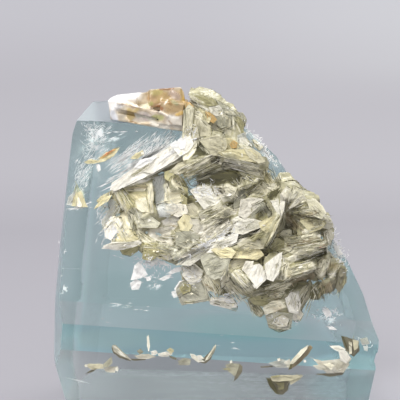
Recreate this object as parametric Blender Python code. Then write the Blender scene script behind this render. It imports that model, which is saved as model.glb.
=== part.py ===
"""An aquamarine crystal carrying a muscovite cluster, a stained feldspar crystal and small mica flakes.

Blender 4.5, metres, +Z up. The aquamarine is a short six-sided prism lying with its long axis along X and
resting on a flat base at z = 0. Its broad front face leans back a little, and everything that grew on the
specimen is placed on a grid drawn on that face:

    across   grid units to the right of the grid's corner
    up       grid units up the leaning face from the grid's corner
    out      grid units out of the face, towards the viewer

One grid unit is 1/320 of the crystal's width.
"""

import math
import random
from collections import namedtuple

import bmesh
import bpy
from mathutils import Matrix, Vector

# ---------------------------------------------------------------- driving dimensions, metres and radians
CRYSTAL_WIDTH = 0.060
GRID_UNITS_ACROSS = 320
UNIT = CRYSTAL_WIDTH / GRID_UNITS_ACROSS
FACE_LEAN = math.radians(8.3)
GRID_MIDDLE = 216  # grid column over x = 0
GRID_HEIGHT = 0.0052  # height of the grid's corner above the base
FACE_SETBACK = -0.0135  # y of the front face at the grid's corner
CLEARANCE = 0.0003  # gap kept between minerals that grew against each other
STOCK = 6 * CRYSTAL_WIDTH  # size of the cubes that the crystal and its step are sliced from

# ---------------------------------------------------------------- the aquamarine, in grid units
DEPTH = 150
FRONT_STEP = 8  # how far the lower front band stands proud of the broad face
BAND_ROLL = math.radians(3.8)  # the lower bands run down to the right by this much
LEDGE_TOP = (80, 94)  # a point (across, up) on the foot of the broad face
LEDGE_SLOPE = math.radians(20)
UNDERCUT_TOP = (66, 47)  # a point on the edge between the front band and the undercut
UNDERCUT = math.radians(20)

OUTLINE_MIDDLE = (216, 150)  # a grid place inside the outline

# Outline of the crystal seen square to its front face: two points on each side face, and its taper backwards.
SideFace = namedtuple("SideFace", "name start end taper")
SIDE_FACES = (
    SideFace("left_foot", (63, -3), (54.5, 37), 5),
    SideFace("left_lower", (54, 40), (54, 96), 5),
    SideFace("left_middle", (54, 96), (60, 160), 6),
    SideFace("left_upper", (60, 160), (72.5, 262), 8),
    SideFace("left_shoulder", (72.5, 262), (77, 277), 8),
    SideFace("top_left_chamfer", (77, 276), (84, 296), 0),
    SideFace("top_right", (226, 287), (276, 240), 12),
    SideFace("right_slope", (276, 240), (347, 136), 10),
    SideFace("right_upper_shoulder", (347, 136), (363, 102), 8),
    SideFace("right_shoulder", (363, 102), (377.3, 56), 7),
    SideFace("right_foot", (377.3, 56), (369.6, -3), 6),
)

# Other faces of the prism: a point and an outward normal in the face frame (across, up, out).
PrismFace = namedtuple("PrismFace", "name point normal")
PRISM_FACES = (
    PrismFace("top_front", (77, 275.5, 0), (0.045, 0.885, 0.463)),
    PrismFace("top_back", (100, 297, -54), (0.02, 0.87, -0.49)),
    PrismFace("back", (200, 100, -DEPTH), (0.03, 0.02, -1.0)),
    PrismFace("back_foot", (200, 30, -DEPTH), (0.0, -0.62, -0.78)),
    PrismFace("left_front_bevel", (60, 160, -5), (-0.80, 0.06, 0.60)),
    PrismFace("left_back_bevel", (75, 150, -DEPTH + 22), (-0.62, 0.10, -0.78)),
    PrismFace("right_back_bevel", (300, 150, -DEPTH + 30), (0.62, 0.38, -0.70)),
)

# Chips broken out of the rim: centre (across, up, out), radius, and stretch along the three grid directions.
Chip = namedtuple("Chip", "centre radius stretch")
CHIPS = (
    Chip((382.5, 36, -20), 12, (1.0, 1.3, 4.0)),
    Chip((386, 70, 12), 14, (1.0, 0.8, 1.6)),
    Chip((300, 222, 8), 13, (1.6, 1.2, 1.2)),
    Chip((352, 152, 6), 12, (1.0, 1.6, 1.3)),
    Chip((272, 262, 2), 11, (1.5, 1.0, 1.5)),
    Chip((48.5, 100, 3), 9, (0.9, 2.0, 1.2)),
    Chip((56, 200, 3), 8, (0.8, 1.6, 1.0)),
    Chip((96, 303, -40), 9, (1.6, 0.8, 1.8)),
    Chip((240, 292, -70), 18, (1.5, 1.0, 2.0)),
    Chip((366, 110, -110), 22, (1.0, 2.2, 1.2)),
    Chip((150, 190, -DEPTH - 11), 16, (3.2, 1.2, 1.0)),
    Chip((255, 105, -DEPTH - 13), 18, (2.4, 0.9, 1.0)),
)

# Growth ledges: shallow flat-bottomed cuts in the broad face and the back, as centre, size and roll in degrees.
Ledge = namedtuple("Ledge", "centre size roll")
LEDGES = (
    Ledge((118, 262, 4), (62, 22, 10), -8),
    Ledge((92, 128, 4), (60, 3, 9.4), -2),
    Ledge((150, 98, 4), (96, 2.4, 9.4), -2),
    Ledge((170, 250, -DEPTH - 4), (120, 26, 11), -5),
    Ledge((200, 150, -DEPTH - 4), (200, 4, 10), -3),
    Ledge((240, 62, -DEPTH - 4), (160, 12, 10), 2),
)

# ---------------------------------------------------------------- the muscovite, in grid units
# A book of mica sheets. azimuth is the way its face leans, anticlockwise from the right, lean is how far it
# turns away from the viewer, length runs square to azimuth and depth along it.
Book = namedtuple("Book", "across up out length depth thick azimuth lean")
BOOKS = (
    # crown over the top edge
    Book(207, 299, -4, 44, 28, 5, 72, 62), Book(199, 294, 10, 24, 18, 4, 60, 74),
    Book(230, 276, 6, 26, 24, 5, 15, 34), Book(239, 276, -6, 18, 26, 5, 8, 56),
    Book(229, 288, 0, 20, 20, 4, 52, 48), Book(201, 270, 14, 26, 22, 5, 28, 30),
    Book(215, 254, 20, 28, 22, 5, 98, 22), Book(241, 243, 16, 32, 20, 5, 80, 36),
    Book(239, 260, 8, 20, 18, 5, 20, 32), Book(190, 277, 12, 30, 20, 5, 178, 56),
    Book(192, 247, 16, 30, 18, 5, 152, 58), Book(216, 289, 14, 14, 14, 4, 45, 24),
    # gabled roof of sheets over the dark recess
    Book(198, 237, 22, 38, 22, 4, 110, 74), Book(196, 231, 18, 34, 20, 4, 112, 76),
    Book(203, 226, 16, 44, 22, 4, 107, 78), Book(228, 241, 22, 32, 20, 4, 81, 70),
    Book(240, 234, 18, 46, 20, 4, 83, 77), Book(252, 229, 16, 26, 18, 4, 78, 80),
    Book(263, 232, 16, 18, 18, 5, 5, 58), Book(244, 214, 16, 22, 16, 4, 150, 74),
    Book(250, 212, 18, 22, 16, 4, 118, 76),
    # pale plateau and silky centre
    Book(207, 203, 12, 30, 24, 5, 100, 14), Book(231, 207, 14, 22, 18, 5, 60, 36),
    Book(216, 192, 14, 48, 16, 5, 117, 42), Book(212, 181, 14, 48, 16, 5, 115, 34),
    Book(204, 170, 13, 44, 16, 5, 118, 30), Book(186, 160, 12, 30, 22, 5, 100, 20),
    Book(190, 148, 18, 48, 12, 5, 123, 24), Book(217, 161, 20, 44, 12, 5, 122, 22),
    Book(243, 175, 20, 36, 18, 5, 110, 24), Book(187, 177, 14, 20, 18, 5, 95, 26),
    # left lobe with its window of sheets
    Book(150, 236, 15, 62, 14, 5, 119, 34), Book(133, 221, 15, 46, 12, 5, 105, 40),
    Book(134, 214, 13, 36, 10, 4, 90, 64), Book(152, 201, 12, 38, 10, 4, 182, 60),
    Book(121, 198, 12, 30, 14, 4, 30, 66), Book(129, 190, 11, 34, 12, 4, 22, 68),
    Book(105, 199, 9, 24, 9, 4, 125, 50), Book(140, 196, 8, 24, 22, 4, 80, 14),
    Book(114, 171, 11, 24, 18, 5, 150, 26), Book(127, 164, 11, 20, 16, 5, 95, 28),
    Book(125, 156, 12, 38, 12, 4, 276, 50), Book(147, 180, 9, 28, 16, 4, 300, 30),
    Book(155, 148, 10, 30, 16, 5, 272, 32), Book(168, 186, 11, 28, 18, 5, 110, 26),
    Book(178, 204, 13, 24, 18, 5, 270, 34), Book(171, 215, 14, 28, 12, 4, 20, 62),
    # lower middle
    Book(193, 110, 12, 38, 24, 5, 280, 26), Book(217, 133, 22, 32, 30, 6, 95, 16),
    Book(213, 114, 20, 26, 16, 5, 262, 46), Book(192, 130, 15, 26, 20, 5, 120, 24),
    Book(223, 151, 22, 26, 16, 5, 80, 26), Book(246, 150, 24, 30, 20, 5, 92, 28),
    Book(239, 119, 26, 30, 20, 7, 45, 52), Book(253, 127, 28, 24, 22, 6, 60, 14),
    Book(271, 133, 30, 30, 18, 6, 178, 22), Book(256, 96, 22, 24, 14, 5, 35, 64),
    Book(228, 112, 18, 22, 18, 5, 250, 50),
    # right rosette around its own centre
    Book(290, 203, 34, 30, 26, 6, 65, 32), Book(306, 191, 36, 26, 34, 6, 100, 44),
    Book(314, 178, 36, 18, 36, 6, 284, 32), Book(305, 160, 32, 26, 46, 6, 98, 36),
    Book(307, 149, 34, 46, 22, 5, 107, 72), Book(324, 168, 22, 38, 18, 5, 4, 48),
    Book(271, 168, 34, 44, 18, 6, 154, 48), Book(274, 194, 32, 24, 20, 5, 135, 18),
    Book(254, 192, 18, 28, 22, 5, 90, 22), Book(262, 164, 26, 24, 14, 5, 115, 62),
    Book(276, 152, 26, 22, 18, 5, 250, 40), Book(283, 215, 24, 22, 22, 5, 60, 40),
    # lower right fans
    Book(296, 126, 34, 44, 20, 6, 110, 58), Book(287, 134, 32, 28, 22, 6, 95, 24),
    Book(305, 136, 28, 24, 16, 5, 260, 40), Book(322, 132, 22, 34, 16, 5, 160, 48),
    Book(335, 125, 10, 32, 22, 6, 8, 26), Book(327, 112, 14, 24, 20, 6, 300, 44),
    Book(302, 108, 30, 44, 18, 6, 150, 46), Book(284, 103, 30, 34, 18, 6, 112, 50),
    Book(279, 83, 22, 30, 24, 5, 285, 22), Book(264, 104, 26, 26, 18, 5, 240, 46),
)

# The knobbly mass that the books grow out of: centre, radius and height of each flattened lump.
Lump = namedtuple("Lump", "across up radius height")
LUMPS = (
    Lump(206, 283, 24, 14), Lump(228, 272, 20, 12), Lump(232, 250, 24, 16), Lump(204, 246, 20, 14),
    Lump(226, 216, 30, 12), Lump(256, 214, 22, 16), Lump(206, 184, 30, 14), Lump(180, 168, 28, 12),
    Lump(236, 182, 28, 18), Lump(212, 150, 30, 18), Lump(246, 148, 30, 24), Lump(282, 190, 34, 28),
    Lump(304, 176, 27, 26), Lump(284, 148, 34, 28), Lump(308, 138, 28, 24), Lump(280, 114, 30, 24),
    Lump(250, 120, 28, 20), Lump(222, 120, 26, 16), Lump(198, 120, 24, 12), Lump(160, 178, 26, 10),
    Lump(132, 170, 24, 11), Lump(124, 198, 20, 11), Lump(140, 208, 18, 10), Lump(150, 228, 17, 12),
    Lump(172, 208, 22, 12), Lump(150, 152, 20, 10), Lump(326, 130, 17, 14), Lump(280, 92, 16, 18),
    Lump(172, 234, 18, 12), Lump(172, 146, 20, 12), Lump(204, 222, 22, 6), Lump(246, 230, 20, 8),
    Lump(186, 228, 16, 8),
)
LUMP_SINK = 6  # how far a lump's middle lies below its mineral's surface
BOOK_SEED = 11
BOOK_RAGGEDNESS = 0.14
STEPPED_BOOK_LENGTH = 26  # books this long carry a second, smaller stack on their face
STEP_RISE = 0.75  # of the book's thickness
STEP_BACK = 0.12  # of the book's depth
STEP_SHRINK = 0.74
STEP_TWIST = math.radians(14)

# ---------------------------------------------------------------- the feldspar, in grid units
# Blocks grown together: centre, size and turns in degrees about out, across and up.
Block = namedtuple("Block", "centre size turns")
FELDSPAR_BLOCKS = (
    Block((126, 291, -16), (31, 24, 44), (7, 14, -8)),
    Block((141, 299, -18), (34, 12, 34), (5, 6, 4)),
    Block((164, 297, -14), (37, 24, 38), (4, -12, 10)),
    Block((174, 285, -2), (25, 24, 34), (-6, 14, -6)),
    Block((139, 287, -4), (52, 7, 34), (-14, 8, 4)),
    Block((143, 276, -6), (54, 8, 28), (-10, 8, 0)),
    Block((176, 274, 2), (22, 18, 14), (-8, 6, 0)),
)
BLOCK_WEAR = 0.10  # how far a block's corners are worn from square, as a part of its size
BLOCK_SEED = 3

# ---------------------------------------------------------------- flakes on the lower front faces, in grid units
# Each flake is one or more plates: centre, length, depth, the way its length runs, and how far it stands up.
FlakePlate = namedtuple("FlakePlate", "across up length depth run tilt")
FLAKES = {
    "mica_flake_far_left": (
        FlakePlate(94, 28, 20, 9, 8, 12), FlakePlate(108, 26, 21, 8, -28, 10), FlakePlate(110, 31, 12, 6, -50, 8),
    ),
    "mica_flake_left": (FlakePlate(121, 43.5, 26, 6, -33, 14),),
    "mica_flake_left_middle": (FlakePlate(161, 44, 25, 6, 2, 12), FlakePlate(168, 40, 13, 8, -35, 8)),
    "mica_flake_middle": (FlakePlate(197, 40, 17, 7, -35, 12), FlakePlate(207, 43, 25, 7, 50, 14)),
    "mica_flake_right_middle": (FlakePlate(231, 31, 17, 8, 75, 10), FlakePlate(237, 26, 20, 9, -68, 12)),
    "mica_flake_right_low": (FlakePlate(279, 12, 26, 17, -38, 10), FlakePlate(291, 16, 20, 10, 8, 12)),
    "mica_flake_right": (FlakePlate(299, 41, 31, 7, 48, 16), FlakePlate(279, 34, 30, 8, 6, 10)),
    "mica_flake_far_right": (FlakePlate(331, 30, 33, 16, -8, 12), FlakePlate(324, 35, 20, 8, -32, 14)),
    "mica_flake_corner": (
        FlakePlate(347, 50, 24, 17, 62, 16), FlakePlate(340, 55, 24, 12, -70, 18), FlakePlate(335, 55, 18, 9, -20, 10),
    ),
}
FLAKE_THICKNESS = 3.2

# ---------------------------------------------------------------- colours (linear RGB), roughness
AQUAMARINE_TINT = (0.30, 0.44, 0.47)
MICA_TINT = (0.52, 0.49, 0.36)
FELDSPAR_TINT = (0.68, 0.46, 0.26)


def face_frame():
    """Matrix from grid directions (across, up, out), in metres, to the world."""
    lean_sin, lean_cos = math.sin(FACE_LEAN), math.cos(FACE_LEAN)
    turn = Matrix(((1, 0, 0), (0, lean_sin, -lean_cos), (0, lean_cos, lean_sin))).to_4x4()
    return Matrix.Translation((-GRID_MIDDLE * UNIT, FACE_SETBACK, GRID_HEIGHT)) @ turn


FACE = face_frame()


def on_grid(point):
    """World position of a grid point (across, up, out)."""
    return FACE @ (Vector(point) * UNIT)


def at_grid(point):
    """Matrix of the face frame moved to a grid point."""
    return Matrix.Translation(on_grid(point)) @ FACE.to_3x3().to_4x4()


def along_grid(direction):
    """World direction of a direction given in grid terms, as a unit vector."""
    return (FACE.to_3x3() @ Vector(direction)).normalized()


def collection(name):
    made = bpy.data.collections.new(name)
    bpy.context.scene.collection.children.link(made)
    return made


def adopt(obj, home, name=None):
    """Moves an object into one collection, and names it."""
    for old in obj.users_collection:
        old.objects.unlink(obj)
    home.objects.link(obj)
    if name:
        obj.name = name
        obj.data.name = name
    return obj


def helper(obj, home):
    """A shape that only cuts or joins others: it isn't part of the specimen."""
    adopt(obj, home)
    obj.hide_render = True
    obj.display_type = "WIRE"
    return obj


def mineral(name, tint, roughness, transmission=0.0):
    material = bpy.data.materials.new(name)
    material.use_nodes = True
    shader = material.node_tree.nodes["Principled BSDF"]
    shader.inputs["Base Color"].default_value = (*tint, 1.0)
    shader.inputs["Roughness"].default_value = roughness
    shader.inputs["Metallic"].default_value = 0.0
    shader.inputs["Transmission Weight"].default_value = transmission
    material.diffuse_color = (*tint, 1.0)
    return material


def slice_off(mesh, point, normal):
    """Cuts a closed convex mesh by a plane, drops what is outside it, and closes the cut with one face."""
    geometry = mesh.verts[:] + mesh.edges[:] + mesh.faces[:]
    bmesh.ops.bisect_plane(
        mesh, geom=geometry, plane_co=point, plane_no=normal, dist=1e-7, clear_outer=True
    )
    rim = [edge for edge in mesh.edges if edge.is_boundary]
    bmesh.ops.holes_fill(mesh, edges=rim, sides=0)


def side_plane(side, middle):
    """Point and outward normal, in the face frame, of a side face that tapers backwards."""
    start, end = Vector(side.start), Vector(side.end)
    run = (end - start).normalized()
    outward = Vector((run.y, -run.x))
    if outward.dot(start - middle) < 0:
        outward.negate()
    taper = math.radians(side.taper)
    normal = Vector((outward.x * math.cos(taper), outward.y * math.cos(taper), -math.sin(taper)))
    return (start.x, start.y, 0), normal


def band_normal(lean):
    """Normal, in the face frame, of a lower front band that leans back (positive) or is undercut (negative)."""
    upright = Vector((0, math.sin(lean), math.cos(lean)))
    return Matrix.Rotation(-BAND_ROLL, 3, "Z") @ upright


def block_mesh(name, size, matrix, home, wear=0.0, rng=None):
    """A box of the given size, its corners worn in by up to wear, placed by a matrix, as a helper object."""
    bpy.ops.mesh.primitive_cube_add(size=1)
    box = bpy.context.object
    box.name = name
    for vertex in box.data.vertices:
        vertex.co *= 1 - (rng.uniform(0, wear) if wear else 0)
    box.data.transform(matrix @ Matrix.Diagonal((*size, 1)))
    return helper(box, home)


def crystal_block(name, margin, home):
    """The aquamarine's flat faces, each moved outwards by margin, without its chips and ledges."""
    bpy.ops.mesh.primitive_cube_add(size=STOCK)
    block = bpy.context.object
    adopt(block, home, name)
    mesh = bmesh.new()
    mesh.from_mesh(block.data)
    middle = Vector(OUTLINE_MIDDLE)
    planes = [side_plane(side, middle) for side in SIDE_FACES]
    planes += [(face.point, Vector(face.normal)) for face in PRISM_FACES]
    planes.append(((*UNDERCUT_TOP, FRONT_STEP), band_normal(-UNDERCUT)))
    planes.append(((*UNDERCUT_TOP, FRONT_STEP), Vector((0, 0, 1))))
    for point, normal in planes:
        outward = along_grid(normal)
        slice_off(mesh, on_grid(point) + outward * margin, outward)
    slice_off(mesh, Vector((0, 0, 0)), Vector((0, 0, -1)))
    bmesh.ops.recalc_face_normals(mesh, faces=mesh.faces)
    mesh.to_mesh(block.data)
    mesh.free()
    return block


def step_cutter(margin, home):
    """What is cut away above the lower front band, so that the broad face lies behind a sloping ledge."""
    bpy.ops.mesh.primitive_cube_add(size=STOCK)
    cutter = bpy.context.object
    mesh = bmesh.new()
    mesh.from_mesh(cutter.data)
    broad = along_grid((0, 0, -1))
    slice_off(mesh, on_grid((0, 0, 0)) - broad * margin, broad)
    ledge = -along_grid(band_normal(LEDGE_SLOPE))
    slice_off(mesh, on_grid((*LEDGE_TOP, 0)) - ledge * margin, ledge)
    bmesh.ops.recalc_face_normals(mesh, faces=mesh.faces)
    mesh.to_mesh(cutter.data)
    mesh.free()
    cutter.name = "step_cutter"
    return helper(cutter, home)


def combine(obj, other, operation):
    """Boolean of obj with an object or a collection, applied straight away."""
    modifier = obj.modifiers.new(operation.title(), "BOOLEAN")
    modifier.operation = operation
    modifier.solver = "EXACT"
    if isinstance(other, bpy.types.Collection):
        modifier.operand_type = "COLLECTION"
        modifier.collection = other
    else:
        modifier.object = other
    bpy.context.view_layer.objects.active = obj
    with bpy.context.temp_override(object=obj, active_object=obj):
        bpy.ops.object.modifier_apply(modifier=modifier.name)
    return obj


def chip_cutter(chip, home):
    """A low-faceted stretched ball that breaks a shell-like chip out of the rim."""
    bpy.ops.mesh.primitive_ico_sphere_add(subdivisions=2, radius=chip.radius * UNIT)
    ball = bpy.context.object
    ball.name = "chip_cutter"
    ball.data.transform(at_grid(chip.centre) @ Matrix.Diagonal((*chip.stretch, 1)))
    return helper(ball, home)


def ledge_cutter(ledge, home):
    matrix = at_grid(ledge.centre) @ Matrix.Rotation(math.radians(ledge.roll), 4, "Z")
    size = [value * UNIT for value in ledge.size]
    return block_mesh("ledge_cutter", size, matrix, home)


def build_aquamarine(home, cutters):
    crystal = crystal_block("aquamarine", 0.0, home)
    combine(crystal, step_cutter(0.0, cutters), "DIFFERENCE")
    for chip in CHIPS:
        combine(crystal, chip_cutter(chip, cutters), "DIFFERENCE")
    for ledge in LEDGES:
        combine(crystal, ledge_cutter(ledge, cutters), "DIFFERENCE")
    crystal.data.materials.append(mineral("aquamarine", AQUAMARINE_TINT, 0.08, 0.9))
    return crystal


def build_clearance(cutters):
    """The aquamarine's space with the clearance added, which its neighbours are cut by."""
    space = crystal_block("aquamarine_clearance", CLEARANCE, cutters)
    combine(space, step_cutter(CLEARANCE, cutters), "DIFFERENCE")
    return helper(space, cutters)


def book_matrix(across, up, out, azimuth, lean):
    """Placement of a flat plate whose local Z is its normal and local X runs square to its azimuth."""
    turn, tip = math.radians(azimuth), math.radians(lean)
    normal = Vector((math.cos(turn) * math.sin(tip), math.sin(turn) * math.sin(tip), math.cos(tip)))
    along = Vector((-math.sin(turn), math.cos(turn), 0))
    basis = Matrix((along, normal.cross(along), normal)).transposed().to_4x4()
    return at_grid((across, up, out)) @ basis


def ragged_plate(name, length, depth, thick, matrix, rng, home):
    """A six-sided plate with a broken outline, in metres, placed by a matrix."""
    bpy.ops.mesh.primitive_cylinder_add(vertices=6, radius=0.5, depth=1)
    plate = bpy.context.object
    plate.name = name
    stretch = [1 + rng.uniform(-BOOK_RAGGEDNESS, BOOK_RAGGEDNESS) for _ in range(6)]
    for vertex in plate.data.vertices:
        corner = round(math.atan2(vertex.co.y, vertex.co.x) / (math.pi / 3)) % 6
        vertex.co.x *= stretch[corner]
        vertex.co.y *= stretch[corner]
    plate.data.transform(matrix @ Matrix.Diagonal((length, depth, thick, 1)))
    return adopt(plate, home)


def lump_mesh(lump, home):
    """A flattened low ball, half sunk behind the face."""
    bpy.ops.mesh.primitive_ico_sphere_add(subdivisions=1, radius=1)
    ball = bpy.context.object
    ball.name = "mica_lump"
    size = Matrix.Diagonal((lump.radius, lump.radius, lump.height + LUMP_SINK, 1))
    ball.data.transform(at_grid((lump.across, lump.up, -LUMP_SINK)) @ Matrix.Scale(UNIT, 4) @ size)
    return helper(ball, home)


def build_muscovite(home, clearance, feldspar_space):
    """Lumps and books joined into one solid, then cut clear of the aquamarine and the feldspar."""
    grown = collection("muscovite_growth")
    rng = random.Random(BOOK_SEED)
    lumps = [lump_mesh(lump, grown) for lump in LUMPS]
    for book in BOOKS:
        matrix = book_matrix(book.across, book.up, book.out, book.azimuth, book.lean)
        size = Vector((book.length, book.depth, book.thick)) * UNIT
        helper(ragged_plate("mica_book", *size, matrix, rng, grown), grown)
        if book.length >= STEPPED_BOOK_LENGTH:
            step = Matrix.Translation((0, -STEP_BACK * size.y, STEP_RISE * size.z))
            turn = Matrix.Rotation(rng.uniform(-STEP_TWIST, STEP_TWIST), 4, "Z")
            size *= STEP_SHRINK
            helper(ragged_plate("mica_step", *size, matrix @ step @ turn, rng, grown), grown)
    cluster = adopt(lumps[0], home, "muscovite_cluster")
    cluster.hide_render = False
    cluster.display_type = "TEXTURED"
    combine(cluster, grown, "UNION")
    combine(cluster, clearance, "DIFFERENCE")
    combine(cluster, feldspar_space, "DIFFERENCE")
    keep_largest(cluster)
    cluster.data.materials.append(mineral("muscovite", MICA_TINT, 0.35))
    return cluster


def face_groups(mesh):
    """Sets of faces that reach each other across shared edges."""
    unseen, groups = set(mesh.faces), []
    while unseen:
        front, group = [unseen.pop()], set()
        while front:
            face = front.pop()
            group.add(face)
            for edge in face.edges:
                for other in edge.link_faces:
                    if other in unseen:
                        unseen.remove(other)
                        front.append(other)
        groups.append(group)
    return groups


def keep_largest(obj):
    """Drops the crumbs and closed pockets that cuts and joins have left, so that the piece is one solid."""
    mesh = bmesh.new()
    mesh.from_mesh(obj.data)
    groups = sorted(face_groups(mesh), key=len)
    loose = [face for group in groups[:-1] for face in group]
    bmesh.ops.delete(mesh, geom=loose, context="FACES")
    mesh.to_mesh(obj.data)
    mesh.free()


def feldspar_solid(name, margin, home):
    """The feldspar's blocks joined, each grown by margin on all sides."""
    parts = collection(name + "_blocks")
    rng = random.Random(BLOCK_SEED)
    made = []
    for block in FELDSPAR_BLOCKS:
        roll, pitch, yaw = (math.radians(turn) for turn in block.turns)
        turn = Matrix.Rotation(roll, 4, "Z") @ Matrix.Rotation(pitch, 4, "X") @ Matrix.Rotation(yaw, 4, "Y")
        size = [value * UNIT + 2 * margin for value in block.size]
        made.append(block_mesh("feldspar_block", size, at_grid(block.centre) @ turn, parts, BLOCK_WEAR, rng))
    solid = adopt(made[0], home, name)
    combine(solid, parts, "UNION")
    return solid


def build_feldspar(home, clearance):
    feldspar = feldspar_solid("stained_feldspar", 0.0, home)
    feldspar.hide_render = False
    feldspar.display_type = "TEXTURED"
    combine(feldspar, clearance, "DIFFERENCE")
    keep_largest(feldspar)
    feldspar.data.materials.append(mineral("feldspar", FELDSPAR_TINT, 0.4))
    return feldspar


def front_out(across, up):
    """How far the aquamarine's lower front stands out at a grid place, in grid units, and its undercut there."""
    edge_across, edge_up = UNDERCUT_TOP
    fall = edge_up - (across - edge_across) * math.tan(BAND_ROLL)
    if up >= fall:
        return FRONT_STEP, 0.0
    return FRONT_STEP - (fall - up) * math.tan(UNDERCUT), UNDERCUT


def build_flake(name, plates, rng, home, material, clearance):
    """Small plates standing on the lower front of the aquamarine, joined and cut clear of it."""
    grown = collection(name + "_plates")
    made = []
    for plate in plates:
        out, undercut = front_out(plate.across, plate.up)
        surface = at_grid((plate.across, plate.up, out)) @ Matrix.Rotation(undercut, 4, "X")
        run = Matrix.Rotation(math.radians(plate.run), 4, "Z") @ Matrix.Rotation(math.radians(plate.tilt), 4, "X")
        lift = Matrix.Translation((0, 0, FLAKE_THICKNESS / 2 * UNIT + CLEARANCE))
        size = (plate.length * UNIT, plate.depth * UNIT, FLAKE_THICKNESS * UNIT)
        made.append(ragged_plate("flake_plate", *size, surface @ lift @ run, rng, grown))
    flake = adopt(made[0], home, name)
    if len(made) > 1:
        combine(flake, grown, "UNION")
    for plate in made[1:]:
        helper(plate, grown)
    combine(flake, clearance, "DIFFERENCE")
    keep_largest(flake)
    flake.data.materials.append(material)
    return flake


def build():
    for obj in list(bpy.data.objects):
        bpy.data.objects.remove(obj)
    specimen = collection("aquamarine_specimen")
    cutters = collection("cutters")
    build_aquamarine(specimen, cutters)
    clearance = build_clearance(cutters)
    build_feldspar(specimen, clearance)
    feldspar_space = helper(feldspar_solid("feldspar_clearance", CLEARANCE, cutters), cutters)
    build_muscovite(specimen, clearance, feldspar_space)
    flake_mica = mineral("mica_flake", MICA_TINT, 0.3)
    rng = random.Random(BOOK_SEED)
    for name, plates in FLAKES.items():
        build_flake(name, plates, rng, specimen, flake_mica, clearance)


build()
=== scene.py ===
"""The looks of an aquamarine crystal that carries muscovite, a stained feldspar and small mica flakes.

What grew on the crystal is placed on a grid drawn on its leaning front face: across, to the right; up, along
the face; out, towards the viewer. One grid unit is 1/320 of the crystal's width. The listed sheets, marks
and stains give their points as across and down, where down is counted from the grid's top line.
"""

import logging
import math
import random
from dataclasses import dataclass, replace
from enum import Enum

import bmesh
import bpy
import numpy as np
from mathutils import Matrix, Vector, noise
from mathutils.bvhtree import BVHTree


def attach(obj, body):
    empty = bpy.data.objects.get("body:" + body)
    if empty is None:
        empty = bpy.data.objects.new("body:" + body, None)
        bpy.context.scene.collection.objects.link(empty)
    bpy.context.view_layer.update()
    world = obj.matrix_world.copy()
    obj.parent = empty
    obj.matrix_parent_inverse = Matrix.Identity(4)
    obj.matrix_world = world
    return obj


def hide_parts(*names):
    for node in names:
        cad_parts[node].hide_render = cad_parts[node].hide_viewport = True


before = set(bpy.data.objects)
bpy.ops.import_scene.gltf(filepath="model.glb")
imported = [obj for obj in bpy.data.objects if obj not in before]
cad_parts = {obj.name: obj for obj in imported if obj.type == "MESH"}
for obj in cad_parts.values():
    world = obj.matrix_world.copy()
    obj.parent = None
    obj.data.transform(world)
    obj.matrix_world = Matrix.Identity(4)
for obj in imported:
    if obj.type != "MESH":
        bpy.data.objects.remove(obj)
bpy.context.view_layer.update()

log = logging.getLogger("aquamarine")

Colour = tuple[float, float, float]
Triple = tuple[float, float, float]
Object = bpy.types.Object
Socket = bpy.types.NodeSocket

# ---------------------------------------------------------------- the grid on the front face
CRYSTAL_WIDTH = 0.060
UNIT = CRYSTAL_WIDTH / 320
FACE_LEAN = math.radians(8.3)
GRID_MIDDLE = 216
GRID_TOP = 396
GRID_HEIGHT = 0.0052
FACE_SETBACK = -0.0135
MOST_CORNERS = 6
LEVEL = Vector((0.0, 0.0, 0.0))
NOISE_SEED = 5


def grid_frame() -> Matrix:
    """Matrix from the grid's directions (across, up, out), in metres, to the world.

    Returns:
        The placement of the grid's corner, turned so that its third axis points out of the face.
    """
    lean_sin, lean_cos = math.sin(FACE_LEAN), math.cos(FACE_LEAN)
    turn = Matrix(((1, 0, 0), (0, lean_sin, -lean_cos), (0, lean_cos, lean_sin))).to_4x4()
    return Matrix.Translation((-GRID_MIDDLE * UNIT, FACE_SETBACK, GRID_HEIGHT)) @ turn


FACE = grid_frame()
GRID_TO_WORLD = FACE @ Matrix.Scale(UNIT, 4)


def at_grid(across: float, up: float, out: float = 0.0) -> Matrix:
    """Placement at a grid point, whose local X, Y and Z are across, up and out."""
    return FACE @ Matrix.Translation(Vector((across, up, out)) * UNIT)


def pairs(numbers: tuple[float, ...]) -> list[Vector]:
    """Grid points, as across and up, from a flat row of across, down, across, down."""
    return [Vector((across, GRID_TOP - down, 0)) for across, down in zip(numbers[::2], numbers[1::2])]


def centre_of(corners: list[Vector]) -> Vector:
    """The mean of an outline's corners."""
    return sum(corners, LEVEL) / len(corners)


def hull(numbers: tuple[float, ...]) -> list[Vector]:
    """The convex outline round grid points, with its flattest corners dropped.

    Args:
        numbers: The points, as across, down, across, down.

    Returns:
        The outline, as across and up, anticlockwise.
    """
    points = sorted(pairs(numbers), key=lambda point: (point.x, point.y))
    ring: list[Vector] = []
    for run in (points, points[::-1]):
        start = len(ring)
        for point in run:
            while len(ring) > start + 1 and (ring[-1] - ring[-2]).cross(point - ring[-1]).z <= 0:
                ring.pop()
            ring.append(point)
        ring.pop()
    while len(ring) > MOST_CORNERS:
        cut = [(b - a).cross(c - b).z for a, b, c in zip(ring[-1:] + ring[:-1], ring, ring[1:] + ring[:1])]
        ring.pop(cut.index(min(cut)))
    return ring


def on_grid(obj: Object) -> np.ndarray:
    """Measures an object's points in the grid's directions.

    Args:
        obj: The object, in metres.

    Returns:
        Rows of across, up and out, in grid units.
    """
    points = np.empty(len(obj.data.vertices) * 3, dtype=np.float64)
    obj.data.vertices.foreach_get("co", points)
    to_grid = np.array(Matrix.Scale(1 / UNIT, 4) @ FACE.inverted())
    return points.reshape(-1, 3) @ to_grid[:3, :3].T + to_grid[:3, 3]


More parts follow.
